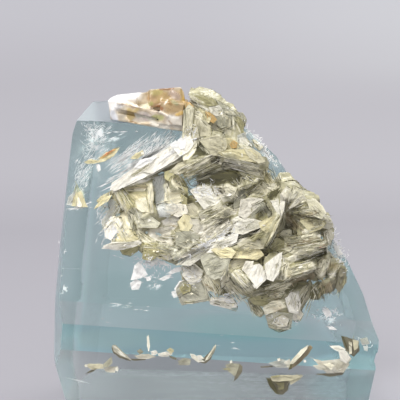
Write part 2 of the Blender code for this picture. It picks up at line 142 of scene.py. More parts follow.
def move_on_grid(obj: Object, flat: np.ndarray) -> None:
    """Moves an object's points to places on the grid.

    Args:
        obj: The object, in metres.
        flat: Rows of across, up and out.
    """
    to_world = np.array(GRID_TO_WORLD)
    obj.data.vertices.foreach_set("co", (flat @ to_world[:3, :3].T + to_world[:3, 3]).ravel())


def store(obj: Object, name: str, rows: np.ndarray) -> None:
    """Stores a row for each point: four channels of a colour, or three coordinates.

    Args:
        obj: The object.
        name: Name of the attribute.
        rows: What its points store.
    """
    kind, field = ("FLOAT_COLOR", "color") if rows.shape[1] == 4 else ("FLOAT_VECTOR", "vector")
    layer = obj.data.attributes.get(name) or obj.data.attributes.new(name, kind, "POINT")
    layer.data.foreach_set(field, rows.astype(np.float32).ravel())


# ---------------------------------------------------------------- modelling tools
WELD = 1e-6


class Bench:
    """Modelling steps done with Blender's operators on one object at a time."""

    @staticmethod
    def clear() -> None:
        """Deselects everything."""
        bpy.ops.object.select_all(action="DESELECT")

    @staticmethod
    def take(obj: Object) -> Object:
        """Makes one object the only selected and active one.

        Args:
            obj: The object to work on.

        Returns:
            The same object.
        """
        Bench.clear()
        obj.select_set(True)
        bpy.context.view_layer.objects.active = obj
        return obj

    @staticmethod
    def box(name: str) -> Object:
        """Adds a unit box at the origin.

        Args:
            name: Name of the new object.

        Returns:
            The box.
        """
        Bench.clear()
        bpy.ops.mesh.primitive_cube_add(size=1)
        bpy.context.object.name = name
        return bpy.context.object

    @staticmethod
    def disc(name: str, sides: int, depth: float) -> Object:
        """Adds a flat prism one unit across.

        Args:
            name: Name of the new object.
            sides: Number of its sides.
            depth: Its thickness.

        Returns:
            The new object.
        """
        Bench.clear()
        bpy.ops.mesh.primitive_cylinder_add(vertices=sides, radius=0.5, depth=depth)
        bpy.context.object.name = name
        return bpy.context.object

    @staticmethod
    def cut(obj: Object, point: Vector, normal: Vector) -> None:
        """Cuts off what lies beyond a plane, and closes the cut.

        Args:
            obj: The closed object to cut.
            point: A point on the plane, in the object's own frame.
            normal: The direction of the side that is dropped.
        """
        Bench.take(obj)
        bpy.ops.object.mode_set(mode="EDIT")
        bpy.ops.mesh.select_all(action="SELECT")
        bpy.ops.mesh.bisect(plane_co=point, plane_no=normal, use_fill=True, clear_outer=True, threshold=1e-7)
        bpy.ops.object.mode_set(mode="OBJECT")

    @staticmethod
    def modify(obj: Object, kind: str, **settings: object) -> None:
        """Adds a modifier and applies it.

        Args:
            obj: The object to change.
            kind: The modifier's type.
            **settings: Its values.
        """
        Bench.take(obj)
        modifier = obj.modifiers.new(kind.title(), kind)
        for name, value in settings.items():
            setattr(modifier, name, value)
        bpy.ops.object.modifier_apply(modifier=modifier.name)

    @staticmethod
    def copy(obj: Object, placement: Matrix, name: str) -> Object:
        """Copies an object with a mesh of its own, moved within that mesh.

        Args:
            obj: The pattern.
            placement: Where the copy goes.
            name: The copy's name.

        Returns:
            The copy.
        """
        mesh = obj.data.copy()
        mesh.transform(placement)
        made = bpy.data.objects.new(name, mesh)
        bpy.context.scene.collection.objects.link(made)
        return made

    @staticmethod
    def join(made: list[Object], name: str) -> Object:
        """Joins objects into the first of them.

        Args:
            made: The objects, all of them at the origin.
            name: Name of the result.

        Returns:
            The joined object.
        """
        Bench.clear()
        for obj in made:
            obj.select_set(True)
        bpy.context.view_layer.objects.active = made[0]
        if len(made) > 1:
            bpy.ops.object.join()
        joined = bpy.context.view_layer.objects.active
        joined.name = name
        joined.data.name = name
        return joined

    @staticmethod
    def solid(node: str, name: str) -> Object:
        """Copies one of the solids, with its loose triangles merged.

        Args:
            node: The solid's name.
            name: The copy's name.

        Returns:
            The copy.
        """
        made = Bench.copy(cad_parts[node], Matrix.Identity(4), name)
        Bench.take(made)
        bpy.ops.object.mode_set(mode="EDIT")
        bpy.ops.mesh.select_all(action="SELECT")
        bpy.ops.mesh.remove_doubles(threshold=WELD)
        bpy.ops.object.mode_set(mode="OBJECT")
        return made

    @staticmethod
    def coat(obj: Object, material: bpy.types.Material) -> None:
        """Gives an object one material and no other."""
        obj.data.materials.clear()
        obj.data.materials.append(material)

    @staticmethod
    def smooth(obj: Object, degrees: float) -> None:
        """Shades an object smooth, with edges that are sharper than an angle left sharp."""
        Bench.take(obj)
        bpy.ops.object.shade_smooth_by_angle(angle=math.radians(degrees))


def paint(obj: Object, name: str, colours: list[Colour]) -> None:
    """Stores one linear colour a face, in the order of the faces."""
    layer = obj.data.attributes.get(name) or obj.data.attributes.new(name, "FLOAT_COLOR", "FACE")
    layer.data.foreach_set("color", [channel for colour in colours for channel in (*colour, 1.0)])


# ---------------------------------------------------------------- node graphs
class Graph:
    """A material's nodes, added from left to right around one Principled shader."""

    def __init__(self, name: str) -> None:
        """Starts a material.

        Args:
            name: The material's name.
        """
        self.material = bpy.data.materials.new(name)
        self.material.use_nodes = True
        self.tree = self.material.node_tree
        self.shader = self.tree.nodes["Principled BSDF"]
        self.output = self.tree.nodes["Material Output"]

    def add(self, kind: str, **settings: object) -> bpy.types.Node:
        """Adds a node.

        Args:
            kind: The node's type.
            **settings: Values of its properties.

        Returns:
            The node.
        """
        node = self.tree.nodes.new(kind)
        for name, value in settings.items():
            setattr(node, name, value)
        return node

    def feed(self, socket: Socket, source: object) -> None:
        """Links a socket, or sets its value.

        Args:
            socket: The input.
            source: Another node's output, a number or a colour.
        """
        if isinstance(source, Socket):
            self.tree.links.new(source, socket)
        elif isinstance(source, tuple) and len(source) == 3 and socket.type == "RGBA":
            socket.default_value = (*source, 1.0)
        else:
            socket.default_value = source

    def place(self) -> Socket:
        """The Object coordinates."""
        return self.add("ShaderNodeTexCoord").outputs["Object"]

    def mapped(self, vector: object, matrix: Matrix, scale: Triple = (1, 1, 1)) -> Socket:
        """Coordinates centred on a place of the piece, turned to it and stretched.

        Args:
            vector: The coordinates.
            matrix: The place and turn that become the origin and the axes.
            scale: How much the turned coordinates are stretched.

        Returns:
            The new coordinates.
        """
        turned = matrix.to_3x3().transposed()
        node = self.add("ShaderNodeMapping", vector_type="POINT")
        node.inputs["Location"].default_value = turned @ -matrix.translation
        node.inputs["Rotation"].default_value = turned.to_euler("XYZ")
        self.feed(node.inputs["Vector"], vector)
        return self.scaled(node.outputs[0], scale)

    def noise(
        self, vector: object, scale: float, detail: float = 4, rough: float = 0.55, warp: float = 0.0
    ) -> Socket:
        """Noise from 0 to 1.

        Args:
            vector: The coordinates.
            scale: Its fineness.
            detail: Number of finer layers.
            rough: Strength of those layers.
            warp: How far it is distorted.

        Returns:
            The noise's value.
        """
        node = self.add("ShaderNodeTexNoise")
        self.feed(node.inputs["Vector"], vector)
        self.feed(node.inputs["Scale"], scale)
        self.feed(node.inputs["Detail"], detail)
        self.feed(node.inputs["Roughness"], rough)
        self.feed(node.inputs["Distortion"], warp)
        return node.outputs["Fac"]

    def between(self, value: object, low: float, high: float, start: float = 0.0, end: float = 1.0) -> Socket:
        """Maps a value's range to another, held at its ends.

        Args:
            value: The value.
            low: Where the range starts.
            high: Where it ends.
            start: Result at low.
            end: Result at high.

        Returns:
            The mapped value.
        """
        node = self.add("ShaderNodeMapRange", interpolation_type="SMOOTHSTEP")
        for socket, source in zip(node.inputs, (value, low, high, start, end)):
            self.feed(socket, source)
        return node.outputs[0]

    def sum(self, operation: str, first: object, second: object = 0.0) -> Socket:
        """Arithmetic on two values.

        Args:
            operation: The Math node's operation.
            first: Its first input.
            second: Its second input.

        Returns:
            The result.
        """
        node = self.add("ShaderNodeMath", operation=operation)
        self.feed(node.inputs[0], first)
        self.feed(node.inputs[1], second)
        return node.outputs[0]

    def blend(self, factor: object, first: object, second: object, kind: str = "MIX") -> Socket:
        """Blends two colours.

        Args:
            factor: Share of the second.
            first: A colour.
            second: Another.
            kind: How they blend.

        Returns:
            The blended colour.
        """
        node = self.add("ShaderNodeMix", data_type="RGBA", blend_type=kind)
        self.feed(node.inputs[0], factor)
        self.feed(node.inputs[6], first)
        self.feed(node.inputs[7], second)
        return node.outputs[2]

    def scaled(self, vector: object, scale: Triple) -> Socket:
        """Coordinates stretched along their axes.

        Args:
            vector: The coordinates.
            scale: How much, along each axis.

        Returns:
            The new coordinates.
        """
        node = self.add("ShaderNodeVectorMath", operation="MULTIPLY")
        self.feed(node.inputs[0], vector)
        node.inputs[1].default_value = scale
        return node.outputs[0]

    def stored(self, name: str) -> Socket:
        """The colour that an attribute holds."""
        return self.add("ShaderNodeAttribute", attribute_name=name).outputs["Color"]

    def split(self, vector: object) -> tuple[Socket, ...]:
        """The X, Y and Z of coordinates.

        Args:
            vector: The coordinates, or a colour.

        Returns:
            The three values.
        """
        node = self.add("ShaderNodeSeparateXYZ")
        self.feed(node.inputs[0], vector)
        return tuple(node.outputs)

    def bumped(self, height: object, strength: float, distance: float) -> None:
        """Sets the shader's normal from a height.

        Args:
            height: The height.
            strength: How strongly it shows.
            distance: How high it stands, in metres.
        """
        node = self.add("ShaderNodeBump")
        node.inputs["Strength"].default_value = strength
        node.inputs["Distance"].default_value = distance
        self.feed(node.inputs["Height"], height)
        self.feed(self.shader.inputs["Normal"], node.outputs[0])

    def set(self, **values: object) -> None:
        """Sets the shader's inputs from sources by input name, with _ for a space."""
        for name, source in values.items():
            self.feed(self.shader.inputs[name.replace("_", " ")], source)


# ---------------------------------------------------------------- finishes
@dataclass(frozen=True)
class Veil:
    """A cloudy or stained patch in the aquamarine, just under its front face."""

    across: float
    up: float
    length: float
    width: float
    turn: float
    low: float = 0.50
    high: float = 0.62
    grain: float = 1.0
    strength: float = 1.0


@dataclass(frozen=True)
class Wash:
    """A soft patch of the front face where the aquamarine's colour shifts."""

    across: float
    up: float
    reach: float
    rise: float
    colour: Colour
    turn: float = 0.0
    core: float = 0.2


@dataclass(frozen=True)
class Beryl:
    """The aquamarine's finish: clear, grey-teal, with white veils and yellow stains under its front face."""

    ior: float = 1.577
    absorbed: Colour = (0.62, 0.86, 0.88)
    density: float = 9.0
    white: Colour = (0.93, 0.95, 0.96)
    gold: Colour = (0.82, 0.73, 0.40)
    wash_depth: float = 120
    veils: tuple[Veil, ...] = (
        Veil(96, 240, 110, 62, 72, 0.36, 0.66, 0.7, 0.42),
        Veil(140, 240, 110, 50, 30, 0.36, 0.66, 0.7, 0.42),
        Veil(96, 262, 30, 20, 65, 0.42, 0.58, 1.2, 0.9),
        Veil(112, 258, 46, 12, 18, 0.44, 0.60, 1.2, 0.7),
        Veil(90, 232, 34, 15, 75, 0.48, 0.64, 1.2, 0.8),
        Veil(99, 229, 7, 4, 80, 0.30, 0.45, 1.0, 0.9),
        Veil(120, 222, 46, 26, 34, 0.50, 0.66, 1.1, 0.7),
        Veil(150, 236, 46, 20, 34, 0.46, 0.62, 1.2, 0.9),
        Veil(182, 252, 9, 7, 20, 0.30, 0.45, 1.0, 1.0),
        Veil(140, 124, 14, 12, 30, 0.42, 0.52, 1.6, 1.0),
        Veil(155, 111, 20, 14, 20, 0.46, 0.58, 1.6, 0.8),
        Veil(62, 106, 14, 20, 80, 0.48, 0.60, 1.8, 0.8),
        Veil(328, 78, 24, 16, 10, 0.47, 0.60, 1.6, 0.7),
        Veil(341, 142, 10, 16, 60, 0.44, 0.58, 1.6, 0.9),
        Veil(258, 258, 90, 34, -52, 0.34, 0.64, 0.9, 0.75),
        Veil(338, 142, 90, 20, -72, 0.36, 0.62, 1.2, 0.6),
        Veil(125, 90, 40, 5, 2, 0.47, 0.60, 1.5, 0.7),
    )
    washes: tuple[Wash, ...] = (
        Wash(150, 98, 110, 70, (0.82, 0.96, 0.94)),
        Wash(245, 70, 80, 18, (0.70, 0.98, 0.94), -2, 0.5),
        Wash(150, 230, 120, 80, (0.94, 1.04, 1.04)),
        Wash(260, 58, 170, 22, (0.82, 0.98, 0.97)),
        Wash(210, 2, 130, 50, (0.94, 0.95, 0.94)),
        Wash(62, 16, 80, 60, (2.2, 2.15, 2.1), 0, 0.1),
        Wash(345, 32, 46, 14, (1.54, 1.70, 1.68), 0, 0.6),
        Wash(352, 90, 46, 60, (1.34, 1.50, 1.54), 0, 0.3),
        Wash(345, 10, 50, 26, (0.88, 1.24, 1.27), 0, 0.4),
        Wash(112, 58, 62, 14, (1.17, 1.08, 0.98), 0, 0.4),
        Wash(108, 131, 22, 30, (0.90, 0.95, 0.94), 0, 0.4),
        Wash(135, 104, 62, 26, (0.82, 0.87, 0.86), 0, 0.4),
        Wash(61, 156, 260, 34, (1.34, 1.37, 1.34), 85.5, 0.75),
        Wash(262, 250, 60, 30, (1.30, 1.26, 1.26), -52, 0.5),
    )
    stains: tuple[Veil, ...] = (
        Veil(78, 198, 28, 17, 82, 0.30, 0.52, 1.5, 1.0),
        Veil(104, 241, 24, 5, 35, 0.36, 0.52, 0.8, 1.0),
        Veil(140, 236, 22, 6, 25, 0.46, 0.60, 1.4, 0.6),
    )

    @staticmethod
    def reach(
        graph: Graph, spot: Matrix, half_length: float, half_width: float, core: float = 0.35,
        depth: float = 12,
    ) -> Socket:
        """How much of a soft oval on the front face covers each point.

        Args:
            graph: The material's nodes.
            spot: The oval's placement.
            half_length: Half its length, in grid units.
            half_width: Half its width.
            core: Share of it that is covered in full.
            depth: How far it reaches into the face and out of it.

        Returns:
            A value from 0, outside, to 1.
        """
        distance = graph.add("ShaderNodeVectorMath", operation="LENGTH")
        around = (1 / (half_length * UNIT), 1 / (half_width * UNIT), 1 / (depth * UNIT))
        graph.feed(distance.inputs[0], graph.mapped(graph.place(), spot, around))
        return graph.between(distance.outputs["Value"], core, 1.0, 1.0, 0.0)

    def patch(self, graph: Graph, veil: Veil) -> Socket:
        """Share of a veil at each point.

        Args:
            graph: The material's nodes.
            veil: The patch.

        Returns:
            A value from 0, clear, to the veil's strength.
        """
        spot = at_grid(veil.across, veil.up) @ Matrix.Rotation(math.radians(veil.turn), 4, "Z")
        fade = self.reach(graph, spot, veil.length / 2, veil.width / 2)
        wisp = graph.noise(graph.mapped(graph.place(), spot, (260, 620, 260)), veil.grain, 6, 0.62, 0.4)
        seen = graph.between(wisp, veil.low, veil.high, 0.0, veil.strength)
        return graph.sum("MULTIPLY", fade, seen)

    def cover(self, graph: Graph, patches: tuple[Veil, ...]) -> Socket:
        """The strongest of several patches at each point.

        Args:
            graph: The material's nodes.
            patches: The patches.

        Returns:
            A value from 0 to 1.
        """
        total = self.patch(graph, patches[0])
        for patch in patches[1:]:
            total = graph.sum("MAXIMUM", total, self.patch(graph, patch))
        return total

    def material(self) -> bpy.types.Material:
        """Builds the material.

        Returns:
            The see-through material, with plain absorption inside.
        """
        graph = Graph("aquamarine")
        place = graph.place()
        cloud = graph.noise(place, 55, 3, 0.5)
        tint = graph.blend(graph.between(cloud, 0.3, 0.7), (0.90, 0.93, 0.94), (1.0, 1.0, 1.0))
        for wash in self.washes:
            spot = at_grid(wash.across, wash.up) @ Matrix.Rotation(math.radians(wash.turn), 4, "Z")
            share = self.reach(graph, spot, wash.reach, wash.rise, wash.core, self.wash_depth)
            tint = graph.blend(share, tint, graph.blend(1.0, tint, wash.colour, "MULTIPLY"))
        # each facet's tint, with painted light on the ledge and painted shade on the undercut
        body = graph.blend(1.0, graph.stored("facet_tint_and_shading"), tint, "MULTIPLY")
        veil = self.cover(graph, self.veils)
        stain = self.cover(graph, self.stains)
        coloured = graph.blend(stain, graph.blend(veil, body, self.white), self.gold)
        frost, milk = graph.split(graph.stored("facet_frost"))[:2]
        solid = graph.sum("MAXIMUM", graph.sum("MAXIMUM", veil, stain), milk)
        graph.set(Base_Color=coloured, IOR=self.ior)
        graph.set(Transmission_Weight=graph.between(solid, 0.0, 1.0, 1.0, 0.12))
        graph.set(Roughness=graph.sum("MAXIMUM", frost, graph.between(solid, 0.0, 1.0, 0.0, 0.5)))
        stria = graph.noise(graph.mapped(place, at_grid(0, 0), (60, 900, 60)), 1.0, 3, 0.5)
        pits = graph.noise(place, 900, 3, 0.6)
        height = graph.sum("ADD", graph.sum("MULTIPLY", stria, 0.5), graph.sum("MULTIPLY", pits, 0.5))
        graph.bumped(height, 0.12, 0.0002)
        inside = graph.add("ShaderNodeVolumeAbsorption")
        inside.inputs["Color"].default_value = (*self.absorbed, 1.0)
        inside.inputs["Density"].default_value = self.density
        graph.tree.links.new(inside.outputs[0], graph.output.inputs["Volume"])
        return graph.material


@dataclass(frozen=True)
class Pearl:
    """Pearly mica sheets: they store their tone, how clear they are, and each point's place on its sheet."""

    name: str = "muscovite"
    roughness: float = 0.34
    sheen: float = 0.2
    silk: float = 0.12

    def material(self) -> bpy.types.Material:
        """Builds the material.

        Returns:
            The material.
        """
        graph = Graph(self.name)
        place = graph.place()
        tone = graph.add("ShaderNodeAttribute", attribute_name="tone")
        sheet = graph.add("ShaderNodeAttribute", attribute_name="sheet_place").outputs["Vector"]
        threads = graph.noise(graph.scaled(sheet, (0.05, 1.4, 1.0)), 1.0, 3, 0.6)
        cloud = graph.noise(graph.scaled(sheet, (0.16, 0.22, 1.0)), 1.0, 4, 0.55, 0.5)
        fine = graph.noise(place, 4200, 3, 0.65)
        silk = graph.between(threads, 0.3, 0.7, 1 - self.silk, 1 + self.silk)
        shade = graph.between(cloud, 0.3, 0.7, 0.86, 1.12)
        grain = graph.between(fine, 0.35, 0.65, 0.93, 1.05)
        mottled = tone.outputs["Color"]
        for change in (shade, silk, grain):
            mottled = graph.blend(1.0, mottled, change, "MULTIPLY")
        rust = graph.between(graph.noise(place, 190, 4, 0.55), 0.63, 0.76, 0.0, 0.38)
        graph.set(Base_Color=graph.blend(rust, mottled, (0.50, 0.36, 0.15)))
        graph.set(Roughness=graph.between(threads, 0.3, 0.7, self.roughness + 0.12, self.roughness - 0.12))
        graph.set(Transmission_Weight=tone.outputs["Alpha"])
        graph.set(IOR=1.5, Coat_Weight=0.25, Coat_Roughness=0.15, Sheen_Weight=self.sheen)
        height = graph.sum("ADD", graph.sum("MULTIPLY", threads, 0.6), graph.sum("MULTIPLY", fine, 0.4))
        graph.bumped(height, 0.10, 0.0001)
        return graph.material


@dataclass(frozen=True)
class Feldspar:
    """Translucent feldspar, coloured and cleared by the stains stored in its points."""

    def material(self) -> bpy.types.Material:
        """Builds the material.

        Returns:
            The material.
        """
        graph = Graph("feldspar")
        place = graph.place()
        stain = graph.add("ShaderNodeAttribute", attribute_name="stain")
        cloud = graph.noise(place, 520, 5, 0.6, 0.5)
        shade = graph.between(cloud, 0.3, 0.7, 0.88, 1.10)
        body = graph.blend(1.0, stain.outputs["Color"], shade, "MULTIPLY")
        crack = graph.between(graph.noise(place, 900, 6, 0.7, 1.2), 0.56, 0.68, 0.0, 0.22)
        graph.set(Base_Color=graph.blend(crack, body, (0.50, 0.34, 0.18)))
        graph.set(Roughness=graph.between(cloud, 0.3, 0.7, 0.42, 0.22))
        graph.set(IOR=1.53, Coat_Weight=0.3, Coat_Roughness=0.15)
        graph.set(Transmission_Weight=stain.outputs["Alpha"])
        graph.bumped(graph.noise(place, 900, 5, 0.6), 0.35, 0.0002)
        return graph.material


@dataclass(frozen=True)
class VeilWhite:
    """The white of veils, scratches, fracture shards and a painted glint: a bright broken film, partly
    see-through.
    """

    name: str = "veil_white"
    colour: Colour = (0.95, 0.96, 0.96)
    clear: float = 0.05
    roughness: float = 0.45

    def material(self) -> bpy.types.Material:
        """Builds the material.

        Returns:
            The material.
        """
        graph = Graph(self.name)
        broken = graph.noise(graph.place(), 1500, 4, 0.65)
        dim = tuple(channel * 0.86 for channel in self.colour)
        graph.set(Base_Color=graph.blend(graph.between(broken, 0.4, 0.6), dim, self.colour))
        graph.set(Transmission_Weight=graph.between(broken, 0.42, 0.62, self.clear * 2, self.clear * 0.4))
        graph.set(Roughness=self.roughness, IOR=1.45)
        graph.bumped(broken, 0.3, 0.0001)
        return graph.material


@dataclass(frozen=True)
class Paper:
    """The studio's paper, lit a little from behind, more so up its curve and its wall, and at the right, with
    a painted pool of light on the floor beside the crystal, over its shadow.
    """

    name: str
    colour: Colour
    floor_glow: Colour
    curve_glow: Colour
    wall_glow: Colour
    right_glow: Colour = (0.065, 0.072, 0.066)
    curve_height: float = 0.0115
    wall_height: float = 0.08
    right_reach: float = 0.11
    # centre and strength of a painted pool of light on the floor, over the crystal's shadow
    beside: Triple = (0.042, 0.0, 0.0)
    shadow_fill_glow: float = 0.09

    def material(self) -> bpy.types.Material:
        """Builds the material.

        Returns:
            The material.
        """
        graph = Graph(self.name)
        across, _, height = graph.split(graph.place())
        curve = graph.between(height, -0.005, self.curve_height)
        wall = graph.between(height, 0.035, self.wall_height)
        above = graph.between(height, 0.028, 0.052, 0.18, 1.0)
        lift = graph.sum("ADD", above, graph.between(height, 0, 0.0016, 0.3, 0))
        right = graph.sum("MULTIPLY", graph.between(across, -0.03, self.right_reach), lift)
        glow = graph.blend(wall, graph.blend(curve, self.floor_glow, self.curve_glow), self.wall_glow)
        # painted light: a glowing spot on the floor beside the crystal, over its cast shadow
        beside = graph.add("ShaderNodeVectorMath", operation="DISTANCE")
        graph.feed(beside.inputs[0], graph.place())
        beside.inputs[1].default_value = self.beside
        shadow_fill_glow = graph.between(beside.outputs["Value"], 0.006, 0.034, self.shadow_fill_glow, 0.0)
        glow = graph.blend(shadow_fill_glow, glow, (1.0, 1.0, 1.05), "ADD")
        graph.set(Base_Color=self.colour, Roughness=0.85)
        graph.set(Emission_Color=graph.blend(right, glow, self.right_glow, "ADD"), Emission_Strength=1.0)
        return graph.material


# ---------------------------------------------------------------- the aquamarine
@dataclass(frozen=True)
class Face:
    """One kind of face of the aquamarine: its tint, how frosted it is, and the share of it that is milky."""

    tint: Colour
    frost: float
    milk: float = 0.0


class Facet(Enum):
    """The aquamarine's faces, by where they lie; the ledge's lighter tint is painted light, the undercut's
    darker one painted shade.
    """

    BROAD = Face((0.66, 0.82, 0.80), 0.10)
    # painted light: lighter than the broad face, as it is turned up to the light
    LEDGE = Face((0.80, 0.92, 0.91), 0.12)
    BAND = Face((0.36, 0.62, 0.66), 0.10)
    # painted shade: darker and lilac, as it is turned down, away from the light
    UNDERCUT = Face((0.435, 0.385, 0.385), 0.14)
    TOP = Face((0.62, 0.64, 0.68), 0.28, 0.4)
    SIDE = Face((0.74, 0.84, 0.84), 0.42)
    BACK = Face((0.74, 0.84, 0.84), 0.60)
    BEVEL = Face((0.94, 1.0, 1.0), 0.60)


@dataclass
class Aquamarine:
    """The clear prism, with softened edges.

    Its faces are told apart in the face frame by how far their normals point out of the face and up it.
    """

    edge_width: float = 0.00016
    edge_angle: float = 18.0
    square_on: float = 0.985
    band_top: float = 70
    tipped: float = 0.85
    tilt: float = 0.2
    top_tilt: float = 0.7
    behind: float = -0.3
    square_behind: float = -0.95
    foot_tilt: float = -0.4

    def facet(self, normal: Vector, centre: Vector) -> Facet:
        """Which kind of face this is.

        Args:
            normal: The face's normal, in the world.
            centre: Its middle, in the world.

        Returns:
            The facet.
        """
        turned = FACE.to_3x3().transposed() @ normal
        place = (FACE.inverted() @ centre) / UNIT
        if turned.z > self.square_on:
            return Facet.BROAD if place.y > self.band_top else Facet.BAND
        if turned.z > self.tipped and turned.y > self.tilt:
            return Facet.LEDGE
        if turned.z > self.tipped and turned.y < -self.tilt:
            return Facet.UNDERCUT
        if turned.y > self.top_tilt and turned.z > self.tilt:
            return Facet.TOP
        if turned.z < self.behind:
            plain = turned.z < self.square_behind or turned.y < self.foot_tilt
            return Facet.BACK if plain else Facet.BEVEL
        return Facet.SIDE

    def build(self) -> Object:
        """Copies the solid, softens its edges and tints its faces, with painted light on the ledge and
        painted shade on the undercut.

        Returns:
            The piece.
        """
        crystal = Bench.solid("aquamarine", "aquamarine_body")
        bpy.ops.object.mode_set(mode="EDIT")
        bpy.ops.mesh.select_all(action="SELECT")
        bpy.ops.mesh.dissolve_limited(angle_limit=math.radians(0.5))
        bpy.ops.object.mode_set(mode="OBJECT")
        Bench.modify(
            crystal, "BEVEL", width=self.edge_width, segments=2, limit_method="ANGLE",
            angle_limit=math.radians(self.edge_angle), use_clamp_overlap=True,
        )
        Bench.smooth(crystal, 12)
        kinds = [self.facet(face.normal, face.center).value for face in crystal.data.polygons]
        paint(crystal, "facet_tint_and_shading", [kind.tint for kind in kinds])
        paint(crystal, "facet_frost", [(kind.frost, kind.milk, 0) for kind in kinds])
        return crystal

    def dress(self, crystal: Object) -> None:
        """Gives the crystal its finish and its body.

        Args:
            crystal: The piece.
        """
        Bench.coat(crystal, Beryl().material())
        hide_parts("aquamarine")
        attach(crystal, "root")


# ---------------------------------------------------------------- sheets laid on the specimen
class Tone(Enum):
    """Colours of mica sheets, in linear light, with how see-through each is; the dark one is painted shade,
    and umber partly so.
    """

    WHITE = (0.90, 0.88, 0.79, 0.0)
    CREAM = (0.80, 0.77, 0.61, 0.0)
    BEIGE = (0.66, 0.625, 0.465, 0.05)
    YELLOW = (0.72, 0.665, 0.42, 0.05)
    OLIVE = (0.40, 0.375, 0.20, 0.05)
    # painted shade: the dark olive of gaps, recesses and sheets in shadow, laid as sheets and slivers
    DARK = (0.120, 0.112, 0.044, 0.0)
    TAN = (0.40, 0.335, 0.21, 0.1)
    AMBER = (0.66, 0.44, 0.16, 0.1)
    SILVER = (0.76, 0.73, 0.62, 0.1)
    GREY = (0.56, 0.55, 0.43, 0.25)
    GLASS = (0.82, 0.84, 0.79, 0.4)
    RUST = (0.66, 0.26, 0.13, 0.0)
    # umber: dark parts of flakes, and painted shade in the lines under them
    UMBER = (0.24, 0.222, 0.150, 0.1)


# short names for the rows that follow; D is the painted shade of gaps and recesses, U umber that also paints
# shade
W, C, B, Y = Tone.WHITE, Tone.CREAM, Tone.BEIGE, Tone.YELLOW
O, D, T, A = Tone.OLIVE, Tone.DARK, Tone.TAN, Tone.AMBER
S, G, V, R, U = Tone.SILVER, Tone.GREY, Tone.GLASS, Tone.RUST, Tone.UMBER


@dataclass(frozen=True)
class Leaf:
    """A sheet that shows its face, with a few more under it.

    Its corners run round it as across, down; seen from the front, it has their outline, or six of them.
    Azimuth is the way its face leans, and lean how far, in degrees. Lift is its clearance over what it lies
    on, and curl is how far its ends bend up, in grid units; where it is 0, it is drawn at random.
    """

    tone: Tone
    azimuth: float
    lean: float
    corners: tuple[float, ...]
    layers: int = 1
    lift: float = 0.8
    curl: float = 0.0


NARROWEST = 0.8


@dataclass(frozen=True)
class Fan:
    """Sheets that show their edges, packed from a hinge to a far end, and opened like the pages of a book.

    The line runs across, down, across, down, and spread is the angle by which they open. Side is how far
    their faces turn to the viewer, in degrees: positive shows the face on the left of the line, as it runs.
    """

    tone: Tone
    line: tuple[float, float, float, float]
    count: int = 1
    spread: float = 0.0
    pitch: float = 2.2
    side: float = 14.0
    lift: float = 3.0

    @property
    def half(self) -> float:
        """Half its width."""
        return max(NARROWEST, self.pitch * self.count / 2)

    @property
    def outline(self) -> list[Vector]:
        """The ground that it takes up.

        Returns:
            Its corners, as across and up, starting along its length.
        """
        hinge, tip = pairs(self.line)
        way = tip - hinge
        aside = Vector((-way.y, way.x, 0)).normalized() * self.half
        return [hinge - aside, tip - aside, tip + aside, hinge + aside]


# painted shade colour: darker gains lose blue, so shaded mica turns olive
OLIVE_SHADE = (0.0, 0.02, 0.38)
DARKEST = 0.3
BRIGHTEST = 0.93


def shaded(gains: np.ndarray, tone: Tone) -> np.ndarray:
    """A tone made lighter or darker: never too bright, and more olive where it is dark, as painted shade.

    Args:
        gains: Rows of gains, of one or three channels.
        tone: The tone.

    Returns:
        Rows of colours.
    """
    gains = np.minimum(gains, BRIGHTEST / max(tone.value[:3]))
    olive = 1 - (1 - np.clip(gains, DARKEST, 1)) * np.array(OLIVE_SHADE)
    return gains * np.array(tone.value[:3]) * olive


def tinted(obj: Object, tone: Tone, gain: float) -> Object:
    """Multiplies the gains stored in a sheet's faces by a tone.

    Args:
        obj: The sheet.
        tone: Its tone.
        gain: How much lighter or darker it is.

    Returns:
        The same sheet.
    """
    layer = obj.data.attributes["tone"].data
    values = np.empty(len(layer) * 4, dtype=np.float32)
    layer.foreach_get("color", values)
    faces = values.reshape(-1, 4)
    faces[:, :3] = shaded(faces[:, :3] * gain, tone)
    faces[:, 3] = tone.value[3]
    layer.foreach_set("color", values)
    return obj


def placed(obj: Object, along: Vector, seed: float, scale: float = 1.0) -> Object:
    """Stores each point's place on its sheet: along the sheet, across it, and a number of its own.

    Args:
        obj: The sheet.
        along: The direction of its silky threads, in its flat frame.
        seed: The sheet's own number.
        scale: Grid units a unit of the mesh.

    Returns:
        The same sheet.
    """
    points = np.empty(len(obj.data.vertices) * 3, dtype=np.float32)
    obj.data.vertices.foreach_get("co", points)
    flat = points.reshape(-1, 3)
    way = np.array((along.x, along.y)) / max(along.length, 1e-6)
    side = np.array((-way[1], way[0]))
    stored = np.empty_like(flat)
    stored[:, 0] = flat[:, :2] @ way * scale
    stored[:, 1] = flat[:, :2] @ side * scale
    stored[:, 2] = seed
    store(obj, "sheet_place", stored)
    return obj


def farthest(corners: list[Vector]) -> Vector:
    """The way from an outline's centre to the corner farthest from it."""
    centre = centre_of(corners)
    return max((corner - centre for corner in corners), key=lambda way: way.length)


